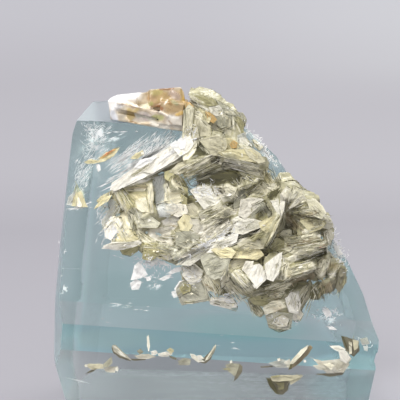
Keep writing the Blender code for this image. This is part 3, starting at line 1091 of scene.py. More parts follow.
class Relief:
    """How far the specimen's front stands out at each grid point, raised as sheets are laid on it."""

    left: int = 40
    right: int = 392
    low: int = 0
    high: int = 330
    far: float = 160.0

    def __init__(self, pieces: list[Object]) -> None:
        """Measures the front by rays from the viewer's side.

        Args:
            pieces: The pieces that stand there.
        """
        points, faces = [], []
        for piece in pieces:
            offset = len(points)
            points += [vertex.co.copy() for vertex in piece.data.vertices]
            faces += [[offset + index for index in face.vertices] for face in piece.data.polygons]
        tree = BVHTree.FromPolygons(points, faces)
        inwards = -FACE.to_3x3().col[2]
        start = FACE @ Vector((0, 0, self.far * UNIT))
        across, up = FACE.to_3x3().col[0] * UNIT, FACE.to_3x3().col[1] * UNIT
        self.height = np.full((self.high - self.low, self.right - self.left), np.nan)
        for row in range(self.height.shape[0]):
            for column in range(self.height.shape[1]):
                origin = start + across * (self.left + column + 0.5) + up * (self.low + row + 0.5)
                distance = tree.ray_cast(origin, inwards)[3]
                if distance is not None:
                    self.height[row, column] = self.far - distance / UNIT

    def under(self, corners: list[Vector]) -> tuple[tuple[slice, slice], np.ndarray, np.ndarray, np.ndarray]:
        """The cells under a convex outline.

        Args:
            corners: The outline, as across and up.

        Returns:
            The window that holds them, and in it a mask, the cells' across and the cells' up.
        """
        xs, ys = [corner.x for corner in corners], [corner.y for corner in corners]
        columns = slice(max(0, int(min(xs)) - self.left), int(max(xs)) - self.left + 2)
        rows = slice(max(0, int(min(ys)) - self.low), int(max(ys)) - self.low + 2)
        window = self.height[rows, columns]
        across = np.arange(window.shape[1])[None, :] + columns.start + self.left + 0.5
        up = np.arange(window.shape[0])[:, None] + rows.start + self.low + 0.5
        middle = centre_of(corners)
        inside = np.ones(window.shape, dtype=bool)
        for first, second in zip(corners, corners[1:] + corners[:1]):
            edge = second - first
            turn = 1 if edge.cross(middle - first).z > 0 else -1
            inside &= turn * (edge.x * (up - first.y) - edge.y * (across - first.x)) >= -0.3
        return (rows, columns), inside, across, up

    def seat(self, corners: list[Vector], slope: Vector, share: float = 0.8, fallback: float = 4.0) -> float:
        """Height at which a sloping sheet rests on what it covers.

        Args:
            corners: Its outline.
            slope: How much it falls per unit of across and of up, measured from its middle.
            share: Share of the cells that it clears.
            fallback: The height where there is nothing under it.

        Returns:
            The height of its middle.
        """
        window, inside, across, up = self.under(corners)
        middle = centre_of(corners)
        level = self.height[window] + slope.x * (across - middle.x) + slope.y * (up - middle.y)
        found = level[inside & ~np.isnan(level)]
        return float(np.quantile(found, share)) if found.size else fallback

    def lay(self, corners: list[Vector], slope: Vector, height: float) -> None:
        """Raises the relief to a sheet that was laid.

        Args:
            corners: Its outline.
            slope: How it falls.
            height: The height of its middle.
        """
        window, inside, across, up = self.under(corners)
        middle = centre_of(corners)
        level = height - slope.x * (across - middle.x) - slope.y * (up - middle.y)
        self.height[window] = np.where(inside, np.fmax(self.height[window], level), self.height[window])

    def calm(self, reach: int) -> None:
        """Evens out the relief.

        Args:
            reach: How far its bumps are spread, in cells.
        """
        known = ~np.isnan(self.height)
        kernel = np.hanning(2 * reach + 3)[1:-1]
        fields = [np.where(known, self.height, 0.0), known.astype(float)]
        for axis in (0, 1):
            fields = [np.apply_along_axis(np.convolve, axis, field, kernel, "same") for field in fields]
        self.height = np.where(known, fields[0] / np.maximum(fields[1], 1e-9), np.nan)

    def at(self, places: np.ndarray) -> np.ndarray:
        """The relief at grid points, nan where there is nothing.

        Args:
            places: Rows of across and up.

        Returns:
            The heights.
        """
        rows = np.clip((places[:, 1] - self.low).astype(int), 0, self.height.shape[0] - 1)
        columns = np.clip((places[:, 0] - self.left).astype(int), 0, self.height.shape[1] - 1)
        return self.height[rows, columns]

    def solid(self, across: float, up: float) -> bool:
        """Whether anything stands at a grid point.

        Args:
            across: Grid units to the right.
            up: Grid units up the face.

        Returns:
            True where something does.
        """
        row, column = int(up) - self.low, int(across) - self.left
        rows, columns = self.height.shape
        return 0 <= row < rows and 0 <= column < columns and not math.isnan(self.height[row, column])


@dataclass
class SheetStock:
    """Broken chips and slivers of sheets, modelled once each and copied."""

    kinds: int = 12
    sliver_kinds: int = 4
    seed: int = 5
    thickness: float = 0.022
    rim: float = 0.03
    # how much lighter the rim is painted, as a highlight
    rim_highlight: float = 1.2
    unit: float = 20

    def __post_init__(self) -> None:
        """Models the patterns."""
        self.rng = random.Random(self.seed)
        self.patterns = [self.pattern(index) for index in range(self.kinds)]
        self.slivers = [self.sliver(index) for index in range(self.sliver_kinds)]

    def pattern(self, index: int) -> Object:
        """One sheet, a unit across, with straight broken sides, a rim painted lighter as a highlight, and a
        slight curl.

        Args:
            index: Which pattern this is.

        Returns:
            The pattern.
        """
        sheet = Bench.disc(f"sheet_pattern_{index}", 6, self.thickness)
        for _ in range(2 + index % 3):
            turn = self.rng.uniform(0, math.tau)
            side = Vector((math.cos(turn), math.sin(turn), 0))
            Bench.cut(sheet, side * self.rng.uniform(0.12, 0.36), side)
        Bench.take(sheet)
        bpy.ops.object.mode_set(mode="EDIT")
        bpy.ops.mesh.select_all(action="DESELECT")
        mesh = bmesh.from_edit_mesh(sheet.data)
        for face in mesh.faces:
            face.select = abs(face.normal.z) > 0.9
        bmesh.update_edit_mesh(sheet.data)
        bpy.ops.mesh.inset(thickness=self.rim, use_individual=True)
        bpy.ops.object.mode_set(mode="OBJECT")
        inner = [face.select for face in sheet.data.polygons]
        # rim faces painted lighter: a painted highlight along the sheet's edges
        paint(sheet, "tone", [(1, 1, 1) if flat else (self.rim_highlight,) * 3 for flat in inner])
        placed(sheet, Vector((1, 0, 0)), index, self.unit)
        curl = self.rng.uniform(-0.16, 0.16)
        twist = self.rng.uniform(-0.12, 0.12)
        for vertex in sheet.data.vertices:
            x, y = vertex.co.x, vertex.co.y
            vertex.co.z += curl * x * x + twist * x * y
        return sheet

    def sliver(self, index: int) -> Object:
        """The edge of a sheet: a unit long, tapering, and a unit wide where it is widest.

        Args:
            index: Which sliver this is.

        Returns:
            The pattern.
        """
        sliver = Bench.disc(f"sliver_pattern_{index}", 4, 1.0)
        belly = self.rng.uniform(-0.25, 0.25)
        for vertex in sliver.data.vertices:
            if abs(vertex.co.x) < 0.1:
                vertex.co.x += belly
        paint(sliver, "tone", [(1, 1, 1)] * len(sliver.data.polygons))
        return placed(sliver, Vector((1, 0, 0)), index, self.unit)

    def chip(self, placement: Matrix, tone: Tone, gain: float) -> Object:
        """A copy of one of the chips, at a place, in a tone made lighter or darker."""
        return tinted(Bench.copy(self.rng.choice(self.patterns), placement, "chip"), tone, gain)

    def strand(self, placement: Matrix, tone: Tone, gain: float) -> Object:
        """A copy of one of the slivers, at a place, in a tone made lighter or darker."""
        return tinted(Bench.copy(self.rng.choice(self.slivers), placement, "sliver"), tone, gain)

    def discard(self) -> None:
        """Removes the patterns."""
        for pattern in self.patterns + self.slivers:
            bpy.data.objects.remove(pattern)


@dataclass
class Layer:
    """Lays leaves on the relief, one after the other, and joins them in a piece."""

    relief: Relief
    stock: SheetStock
    cell: float = 3.6
    rim: float = 0.65
    ragged: float = 0.35
    thickness: float = 0.45
    drop: float = 1.25
    crumple: float = 0.55
    slivers: float = 0.10
    chips: float = 0.0025
    sliver_length: tuple[float, float] = (3, 11)
    sliver_width: tuple[float, float] = (0.22, 0.55)
    sliver_gains: tuple[tuple[float, float], ...] = ((0.5, 0.8), (0.9, 1.2), (1.0, 1.3))
    chip_length: tuple[float, float] = (2.5, 6.5)
    overhang: float = 1.25
    share: float = 0.8
    steepness: float = 0.6
    gain: float = 1.0
    contrast: float = 1.0

    def flat(self, corners: list[Vector]) -> Object:
        """An open sheet of an outline, in grid units, with a rim strip, later painted lighter as a highlight.

        Args:
            corners: The convex outline, as across and up.

        Returns:
            The sheet, its faces towards the viewer.
        """
        xs, ys = [corner.x for corner in corners], [corner.y for corner in corners]
        size = Vector((max(xs) - min(xs) + 1, max(ys) - min(ys) + 1, 1))
        middle = Vector(((max(xs) + min(xs)) / 2, (max(ys) + min(ys)) / 2, 0))
        centre = centre_of(corners)
        Bench.clear()
        columns, rows = (max(2, round(side / self.cell)) for side in (size.x, size.y))
        bpy.ops.mesh.primitive_grid_add(
            x_subdivisions=columns, y_subdivisions=rows, size=1, enter_editmode=True,
        )
        made = bpy.context.object
        bpy.ops.transform.resize(value=size)
        bpy.ops.transform.translate(value=middle)
        for first, second in zip(corners, corners[1:] + corners[:1]):
            edge = second - first
            normal = Vector((edge.y, -edge.x, 0)).normalized()
            if normal.dot(centre - first) > 0:
                normal.negate()
            bpy.ops.mesh.select_all(action="SELECT")
            bpy.ops.mesh.bisect(plane_co=first, plane_no=normal, clear_outer=True, threshold=1e-4)
        bpy.ops.mesh.select_all(action="SELECT")
        bpy.ops.mesh.inset(thickness=self.rim, use_boundary=True)
        bpy.ops.object.mode_set(mode="OBJECT")
        return made

    def shaped(self, leaf: Leaf, corners: list[Vector], slope: Vector, height: float) -> Object:
        """A leaf's top sheet, ragged, curled, sloping and with its thickness.

        Args:
            leaf: The leaf.
            corners: Its outline.
            slope: How it falls.
            height: The height of its middle.

        Returns:
            The sheet, in grid units.
        """
        rng = self.stock.rng
        made = self.flat(corners)
        centre = centre_of(corners)
        seed = rng.uniform(0, 90)
        gains = []
        # rim faces get lighter gains, unevenly: a painted highlight along the leaf's edges
        for face in made.data.polygons:
            edge = 1.05 + 0.3 * noise.noise(face.center * 0.16 + Vector((0, 0, seed)))
            gains.append((1.0,) * 3 if face.select else (edge,) * 3)
        paint(made, "tone", gains)
        along = farthest(corners)
        reach = along.length
        placed(made, along, seed)
        curl = leaf.curl or rng.uniform(-0.10, 0.10) * reach
        rims = {index for face in made.data.polygons if not face.select for index in face.vertices}
        for vertex in made.data.vertices:
            point = vertex.co.copy()
            way = point - centre
            if vertex.index in rims:
                vertex.co += Vector((rng.uniform(-1, 1), rng.uniform(-1, 1), 0)) * self.ragged
            bend = curl * (way.dot(along) / (reach * reach)) ** 2
            crumple = self.crumple * noise.noise(point * 0.13 + Vector((0, 0, seed)))
            vertex.co.z = height - slope.x * way.x - slope.y * way.y + bend + crumple
        Bench.modify(made, "SOLIDIFY", thickness=self.thickness, offset=-1)
        return made

    def leaf(self, leaf: Leaf) -> list[Object]:
        """A leaf's sheets, laid on the relief.

        Args:
            leaf: The leaf.

        Returns:
            Its sheets, in grid units.
        """
        rng = self.stock.rng
        corners = hull(leaf.corners)
        centre = centre_of(corners)
        turn = math.radians(leaf.azimuth)
        steep = math.tan(math.radians(leaf.lean * self.steepness))
        slope = Vector((math.cos(turn), math.sin(turn), 0)) * steep
        height = self.relief.seat(corners, slope, self.share) + leaf.lift
        self.relief.lay(corners, slope, height)
        top = self.shaped(leaf, corners, slope, height)
        sheets = []
        for under in range(1, leaf.layers):
            grow = 1 + rng.uniform(0.01, 0.07) * under
            shift = Vector((rng.uniform(-1, 1), rng.uniform(-1, 1), -self.drop * under)) * 1.1
            middle = Vector((centre.x, centre.y, height))
            twist = Matrix.Rotation(math.radians(rng.uniform(-4, 4)), 4, "Z")
            move = Matrix.Translation(middle + shift) @ twist
            placement = move @ Matrix.Diagonal((grow, grow, 1, 1)) @ Matrix.Translation(-middle)
            # sheets under the top one are drawn darker, as painted shade beneath it
            sheets.append(tinted(Bench.copy(top, placement, "under"), leaf.tone, self.shade(0.72, 1.05)))
        return [tinted(top, leaf.tone, self.shade(0.86, 1.08)), *sheets]

    def shade(self, low: float, high: float) -> float:
        """A gain between two, drawn towards 1 by the part's contrast and lifted by its own gain."""
        return (1 + (self.stock.rng.uniform(low, high) - 1) * self.contrast) * self.gain

    def litter(self, corners: list[Vector], way: Vector, tone: Tone) -> list[Object]:
        """Slivers and chips that lie over a laid sheet and round it.

        Args:
            corners: The sheet's outline.
            way: The direction of its threads.
            tone: Its tone.

        Returns:
            The slivers and chips, in grid units.
        """
        rng = self.stock.rng
        centre = centre_of(corners)
        density = self.slivers + self.chips
        made = []
        for _ in range(round(self.area(corners) * density)):
            shares = [rng.random() ** 2 + 0.01 for _ in corners]
            place = sum((corner * share for corner, share in zip(corners, shares)), LEVEL) / sum(shares)
            place = centre + (place - centre) * self.overhang
            if not self.relief.solid(place.x, place.y):
                continue
            gain = self.shade(*rng.choice(self.sliver_gains))
            if rng.random() * density < self.slivers:
                turn = math.atan2(way.y, way.x) + rng.gauss(0, 0.10)
                length, width = rng.uniform(*self.sliver_length), rng.uniform(*self.sliver_width)
                tip = Matrix.Rotation(rng.gauss(0, 0.10), 4, "Y")
                spot = self.rest(place, turn, length, 0.25) @ tip @ Matrix.Diagonal((length, width, 0.4, 1))
                made.append(self.stock.strand(spot, tone, gain))
            else:
                turn = rng.uniform(0, math.tau)
                length = rng.uniform(*self.chip_length)
                size = Matrix.Diagonal((length, length * rng.uniform(0.5, 0.9), length, 1))
                tip = Matrix.Rotation(rng.gauss(0, 0.45), 4, "X")
                spot = self.rest(place, turn, length, 0.6) @ tip @ size
                made.append(self.stock.chip(spot, rng.choice((tone, tone, W, C, B)), self.shade(0.8, 1.1)))
        return made

    def rest(self, place: Vector, turn: float, length: float, lift: float) -> Matrix:
        """Where something small rests on the relief.

        Args:
            place: Its middle, as across and up.
            turn: The way it runs, in radians.
            length: How long it is.
            lift: Its clearance.

        Returns:
            The placement of its middle, turned.
        """
        reach = Vector((math.cos(turn), math.sin(turn), 0)) * length / 2
        under = [place - reach, place + reach + Vector((0.1, 0.1, 0)), place + Vector((0.2, -0.2, 0))]
        level = self.relief.seat(under, LEVEL, 0.7)
        return Matrix.Translation((place.x, place.y, level + lift)) @ Matrix.Rotation(turn, 4, "Z")

    @staticmethod
    def area(corners: list[Vector]) -> float:
        """The area inside an outline."""
        return abs(sum(a.x * b.y - b.x * a.y for a, b in zip(corners, corners[1:] + corners[:1]))) / 2

    @staticmethod
    def gather(sheets: list[Object], name: str) -> Object:
        """Joins sheets made in grid units into a piece in metres.

        Args:
            sheets: The sheets.
            name: The piece's name.

        Returns:
            The piece.
        """
        piece = Bench.join(sheets, name)
        piece.data.transform(GRID_TO_WORLD)
        Bench.smooth(piece, 24)
        return piece

    def build(self, name: str, rows: tuple[Leaf, ...], littered: bool = False) -> Object:
        """Lays every leaf and joins the sheets.

        Args:
            name: The piece's name.
            rows: The leaves, in the order in which they are laid.
            littered: Whether slivers and chips lie over them.

        Returns:
            The piece, in metres.
        """
        sheets = []
        for row in rows:
            sheets += self.leaf(row)
        for row in rows if littered else ():
            corners = hull(row.corners)
            sheets += self.litter(corners, farthest(corners), row.tone)
        return self.gather(sheets, name)


CROWN_SHEETS = (
    Leaf(O, 82, 48, (188, 98, 193, 94, 201, 93, 211, 97, 217, 104, 209, 107, 198, 103)),
    Leaf(O, 80, 40, (197, 97, 205, 98, 213, 103, 215, 106, 208, 107, 201, 104), 2),
    Leaf(G, 60, 46, (216, 100, 225, 105, 233, 110, 236, 116, 229, 116, 221, 110)),
    Leaf(G, 50, 40, (221, 109, 229, 110, 236, 115, 238, 120, 231, 119, 224, 116), 2),
    Leaf(O, 20, 46, (235, 117, 240, 118, 244, 124, 243, 132, 238, 132, 235, 125), 3),
    Leaf(T, 150, 30, (187, 100, 193, 98, 200, 101, 200, 104, 193, 104, 188, 103), 2),
    Leaf(A, 150, 26, (185, 102, 190, 104, 194, 108, 192, 112, 187, 111, 184, 107), 2),
    Leaf(C, 165, 16, (184, 112, 189, 106, 194, 110, 194, 126, 192, 138, 187, 148, 184, 140), 2, 1),
    Leaf(B, 170, 24, (187, 111, 194, 109, 201, 114, 203, 122, 199, 131, 191, 134, 186, 124)),
    Fan(C, (187, 107, 187, 128), 3, 6, 1.8, 14, 2), Fan(B, (188, 126, 186, 148), 4, 10, 2, -14, 2.4),
    Leaf(C, 150, 20, (194, 113, 199, 112, 203, 116, 201, 121, 196, 119), 2),
    Leaf(Y, 120, 22, (199, 109, 206, 112, 211, 118, 209, 124, 203, 121, 199, 115), 2),
    Leaf(G, 60, 24, (212, 114, 222, 111, 232, 116, 236, 125, 231, 134, 221, 138, 211, 133, 208, 123), 4, 2),
    Leaf(B, 70, 20, (214, 117, 222, 114, 230, 119, 231, 127, 225, 133, 217, 133, 212, 126), 3, 1.6),
    Leaf(G, 50, 16, (217, 119, 223, 117, 228, 121, 227, 127, 221, 129, 216, 125), 3, 1.4),
    Leaf(A, 100, 24, (205, 113, 211, 115, 216, 121, 213, 124, 208, 121), 2),
    Leaf(B, 190, 26, (198, 121, 205, 122, 210, 128, 211, 137, 205, 140, 199, 137, 196, 129), 3, 1.6),
    Leaf(C, 175, 22, (186, 135, 195, 132, 200, 138, 199, 145, 192, 153, 185, 156, 183, 146)),
    Leaf(V, 20, 30, (237, 136, 244, 133, 250, 140, 253, 148, 246, 151, 238, 149), 2),
    Leaf(W, 40, 24, (239, 139, 245, 138, 249, 144, 246, 149, 240, 148), 1),
    Leaf(B, 80, 22, (199, 141, 206, 138, 216, 137, 224, 140, 225, 148, 219, 157, 211, 156, 203, 149), 3, 1.6),
    Leaf(Y, 62, 24, (221, 139, 230, 139, 237, 143, 238, 149, 230, 153, 222, 151), 3, 1.4),
    Leaf(A, 80, 20, (229, 145, 233, 141, 237, 144, 236, 149, 231, 149), 1, 1),
    Leaf(Y, 85, 28, (218, 154, 228, 151, 240, 150, 250, 151, 257, 157, 255, 163, 240, 162, 226, 159), 3),
    Leaf(B, 75, 36, (243, 149, 251, 149, 259, 155, 263, 163, 257, 164, 248, 158), 3),
    Leaf(D, 90, 20, (200, 147, 205, 152, 209, 157, 201, 159, 193, 158, 196, 152), 1, 1.6),
    # a white plate that is partly a painted highlight
    Leaf(W, 50, 30, (209, 108, 213, 106, 219, 106, 223, 111, 222, 116, 216, 117, 211, 114), 3, 3, -2.5),
    Leaf(C, 35, 44, (253, 139, 257, 141, 263, 147, 260, 150, 256, 147), 2, 1.6),
    Fan(W, (190, 101, 208, 112), 2, 5, 1.6, 16, 3.5),
    Leaf(B, 170, 14, (186, 129, 198, 128, 199, 139, 187, 141), 1),
    Fan(C, (188, 97, 199, 101), 2, 8, 1.8, 14, 2.5),
    Fan(C, (200, 120, 211, 131), 2, 10, 1.8, 20, 3), Fan(C, (199, 144, 212, 156), 2, 8, 1.8, -18, 3),
    Fan(C, (233, 118, 234, 130), 1, 0, 2, -18), Fan(O, (219, 127, 222, 135), 1, 0, 2, 14),
    Fan(D, (253, 141, 258, 148), 1, 0, 2, 10, 2), Fan(C, (193, 127, 190, 140), 1, 0, 2, 20),
)
# the dark and olive leaves under the roof are painted shade, where its sheets overhang
ROOF_SHEETS = (
    Leaf(D, 270, 30, (188, 181, 200, 176, 212, 172, 212, 181, 205, 185, 198, 187, 191, 185), 2, -1.5),
    Leaf(O, 275, 34, (211, 177, 222, 173, 234, 171, 240, 174, 232, 180, 224, 185, 214, 185), 3, -1),
    Leaf(D, 262, 30, (212, 160, 219, 157, 228, 161, 238, 166, 240, 172, 226, 172, 214, 170), 2, -1),
    Leaf(D, 270, 26, (233, 172, 246, 170, 258, 172, 262, 180, 254, 186, 241, 189, 234, 182), 2, -1),
    Leaf(O, 280, 30, (246, 185, 256, 183, 264, 188, 262, 196, 251, 199, 245, 193), 3),
    Leaf(D, 275, 24, (196, 180, 214, 174, 236, 174, 240, 182, 222, 188, 200, 189), 1, 0.2),
    Leaf(Y, 20, 34, (262, 165, 268, 167, 274, 174, 278, 184, 277, 191, 270, 188, 264, 178)),
    Leaf(B, 340, 30, (262, 182, 270, 183, 277, 188, 274, 195, 266, 195, 260, 190), 3),
    Leaf(D, 300, 24, (266, 198, 269, 192, 276, 189, 278, 195, 275, 201, 270, 200), 1, 1.4),
    Leaf(B, 100, 34, (170, 172, 178, 164, 190, 160, 198, 160, 192, 168, 180, 175), 3),
    Fan(C, (181, 173, 214, 157), 3, 3, 2.3, -16, 3.5), Fan(C, (186, 181, 222, 166), 3, 4, 2.6, -18, 3),
    Fan(B, (190, 176, 217, 162), 2, 4, 2.4, -20, 2), Fan(O, (178, 179, 210, 168), 3, 6, 2.2, -16, 1),
    Fan(C, (262, 173, 219, 161), 3, 4, 2.3, 18, 4), Fan(W, (258, 168, 224, 160), 2, 3, 2, 22, 4.5),
    Fan(C, (264, 178, 240, 171), 2, 5, 2.6, 16, 3.5), Fan(O, (256, 181, 238, 172), 2, 12, 2.6, 18, 2),
    Fan(C, (241, 190, 233, 179), 2, 26, 1, -12), Fan(B, (241, 190, 241, 177), 3, 40, 1, 10),
    Fan(C, (242, 190, 258, 179), 2, 18, 1.6, -14, 3.5), Fan(C, (241, 172, 248, 179), 1, 0, 2, 18, 3),
    Fan(B, (247, 198, 262, 188), 4, 18, 2.4, -16, 2.5), Fan(C, (279, 190, 268, 168), 3, 14, 2.4, 16, 2),
    Fan(O, (264, 164, 265, 181), 1, 0, 2, -14, 3.5), Fan(C, (262, 184, 278, 190), 2, 14, 2.2, -14, 3),
)
CENTRE_SHEETS = (
    Leaf(G, 120, 20, (176, 232, 190, 230, 200, 235, 197, 243, 186, 249, 176, 244)),
    Leaf(S, 118, 24, (196, 223, 212, 219, 228, 217, 229, 222, 216, 235, 204, 243, 195, 238)),
    Leaf(S, 116, 28, (198, 211, 212, 206, 226, 205, 238, 208, 235, 214, 218, 218, 202, 223)),
    Leaf(B, 112, 32, (204, 216, 218, 208, 231, 207, 235, 212, 224, 217, 209, 220), 4, 1.6),
    Leaf(
        W, 100, 18, (190, 191, 198, 187, 209, 187, 217, 195, 220, 201, 214, 206, 204, 209, 196, 199), 3, 1.8,
    ),
    Leaf(S, 60, 26, (211, 186, 224, 187, 233, 190, 238, 197, 232, 201, 223, 202, 216, 195), 3, 1.6),
    Leaf(C, 70, 30, (219, 186, 228, 184, 236, 188, 238, 195, 230, 194, 222, 190), 2),
    Leaf(G, 40, 34, (238, 189, 246, 186, 250, 190, 246, 198, 238, 207, 233, 206, 234, 197), 3),
    Leaf(S, 95, 20, (240, 200, 250, 198, 262, 199, 258, 206, 250, 214, 244, 219, 238, 215, 237, 207), 3, 1.6),
    Leaf(G, 110, 24, (252, 206, 260, 201, 267, 205, 270, 213, 266, 221, 258, 220, 250, 217), 3, 1.8),
    Leaf(O, 100, 30, (253, 216, 260, 210, 266, 214, 268, 220, 261, 222), 2),
    Leaf(
        W, 105, 22, (231, 219, 238, 216, 248, 217, 260, 220, 267, 226, 262, 231, 250, 233, 236, 230), 4, 1.8,
    ),
    Leaf(S, 100, 26, (244, 226, 251, 224, 260, 227, 258, 232, 250, 234, 243, 232), 2),
    Leaf(
        W, 115, 22, (213, 240, 222, 232, 232, 229, 246, 234, 243, 240, 232, 246, 219, 250, 208, 249), 4, 1.6,
    ),
    Leaf(S, 130, 24, (218, 226, 226, 221, 235, 221, 231, 229, 223, 232), 3),
    Leaf(S, 112, 24, (178, 259, 188, 248, 200, 243, 210, 242, 208, 249, 194, 256, 184, 262), 3),
    Leaf(C, 120, 26, (200, 250, 212, 243, 224, 239, 234, 240, 226, 246, 212, 251, 202, 255), 3, 2),
    Leaf(W, 122, 22, (178, 263, 190, 254, 202, 249, 208, 251, 199, 257, 187, 263, 180, 265), 3, 2),
    Leaf(B, 95, 24, (236, 243, 245, 238, 256, 239, 264, 241, 261, 248, 250, 248, 240, 247), 3),
    Leaf(O, 130, 30, (248, 240, 256, 234, 266, 230, 268, 231, 262, 237, 254, 241), 2, 2),
    Leaf(Y, 110, 30, (257, 222, 268, 217, 275, 216, 271, 226, 265, 232, 260, 229), 2, 1.6),
    Leaf(Y, 100, 24, (178, 222, 184, 214, 190, 216, 193, 225, 189, 231, 181, 230), 3, 1.6),
    Leaf(B, 95, 20, (184, 205, 193, 203, 200, 210, 198, 219, 190, 217, 184, 213), 3),
    Leaf(S, 110, 24, (190, 218, 200, 220, 198, 232, 191, 233), 2),
    Fan(D, (211, 186, 218, 197), 1, 0, 2, 14, 2.2), Fan(D, (211, 219, 231, 215), 2, 4, 1.2, -14, 2.4),
    Fan(C, (202, 225, 232, 209), 3, 8, 2.6, -14, 2.6), Fan(S, (204, 238, 228, 221), 4, 10, 2.4, -12, 2.4),
    Fan(C, (198, 215, 222, 206), 3, 9, 2.4, 12, 2.2), Fan(D, (223, 204, 237, 205), 2, 8, 2, 12, 2.4),
    Fan(C, (186, 240, 200, 249), 2, 8, 2.4, 12, 2.4), Fan(W, (180, 262, 210, 248), 3, 5, 2.2, 16, 3),
    Fan(W, (208, 248, 240, 232), 3, 6, 2.4, 14, 2.6), Fan(D, (253, 206, 263, 200), 1, 0, 2, -12, 2.6),
    Fan(D, (263, 200, 271, 212), 2, 6, 1.3, 12, 2.6), Fan(G, (258, 205, 266, 216), 3, 16, 2, 14, 2.4),
    Fan(S, (241, 222, 245, 238), 3, 14, 2.4, 12, 2), Fan(D, (232, 224, 237, 221), 1, 0, 2, 10, 2.2),
    Fan(G, (224, 196, 236, 199), 3, 20, 2.2, -14, 2.4), Fan(C, (216, 188, 236, 190), 2, 7, 1.8, 14, 2.8),
    Fan(O, (248, 240, 267, 230), 2, 7, 1.8, -14, 2.4), Fan(C, (231, 200, 240, 191), 3, 16, 2.4, 12, 2.4),
    Leaf(W, 118, 18, (181, 264, 192, 254, 206, 248, 214, 246, 208, 253, 190, 265), 1),
    Leaf(W, 116, 22, (206, 252, 216, 242, 232, 233, 238, 233, 236, 241, 216, 251), 1),
    Leaf(W, 108, 18, (230, 232, 236, 221, 248, 218, 262, 221, 260, 227, 242, 234), 1),
)
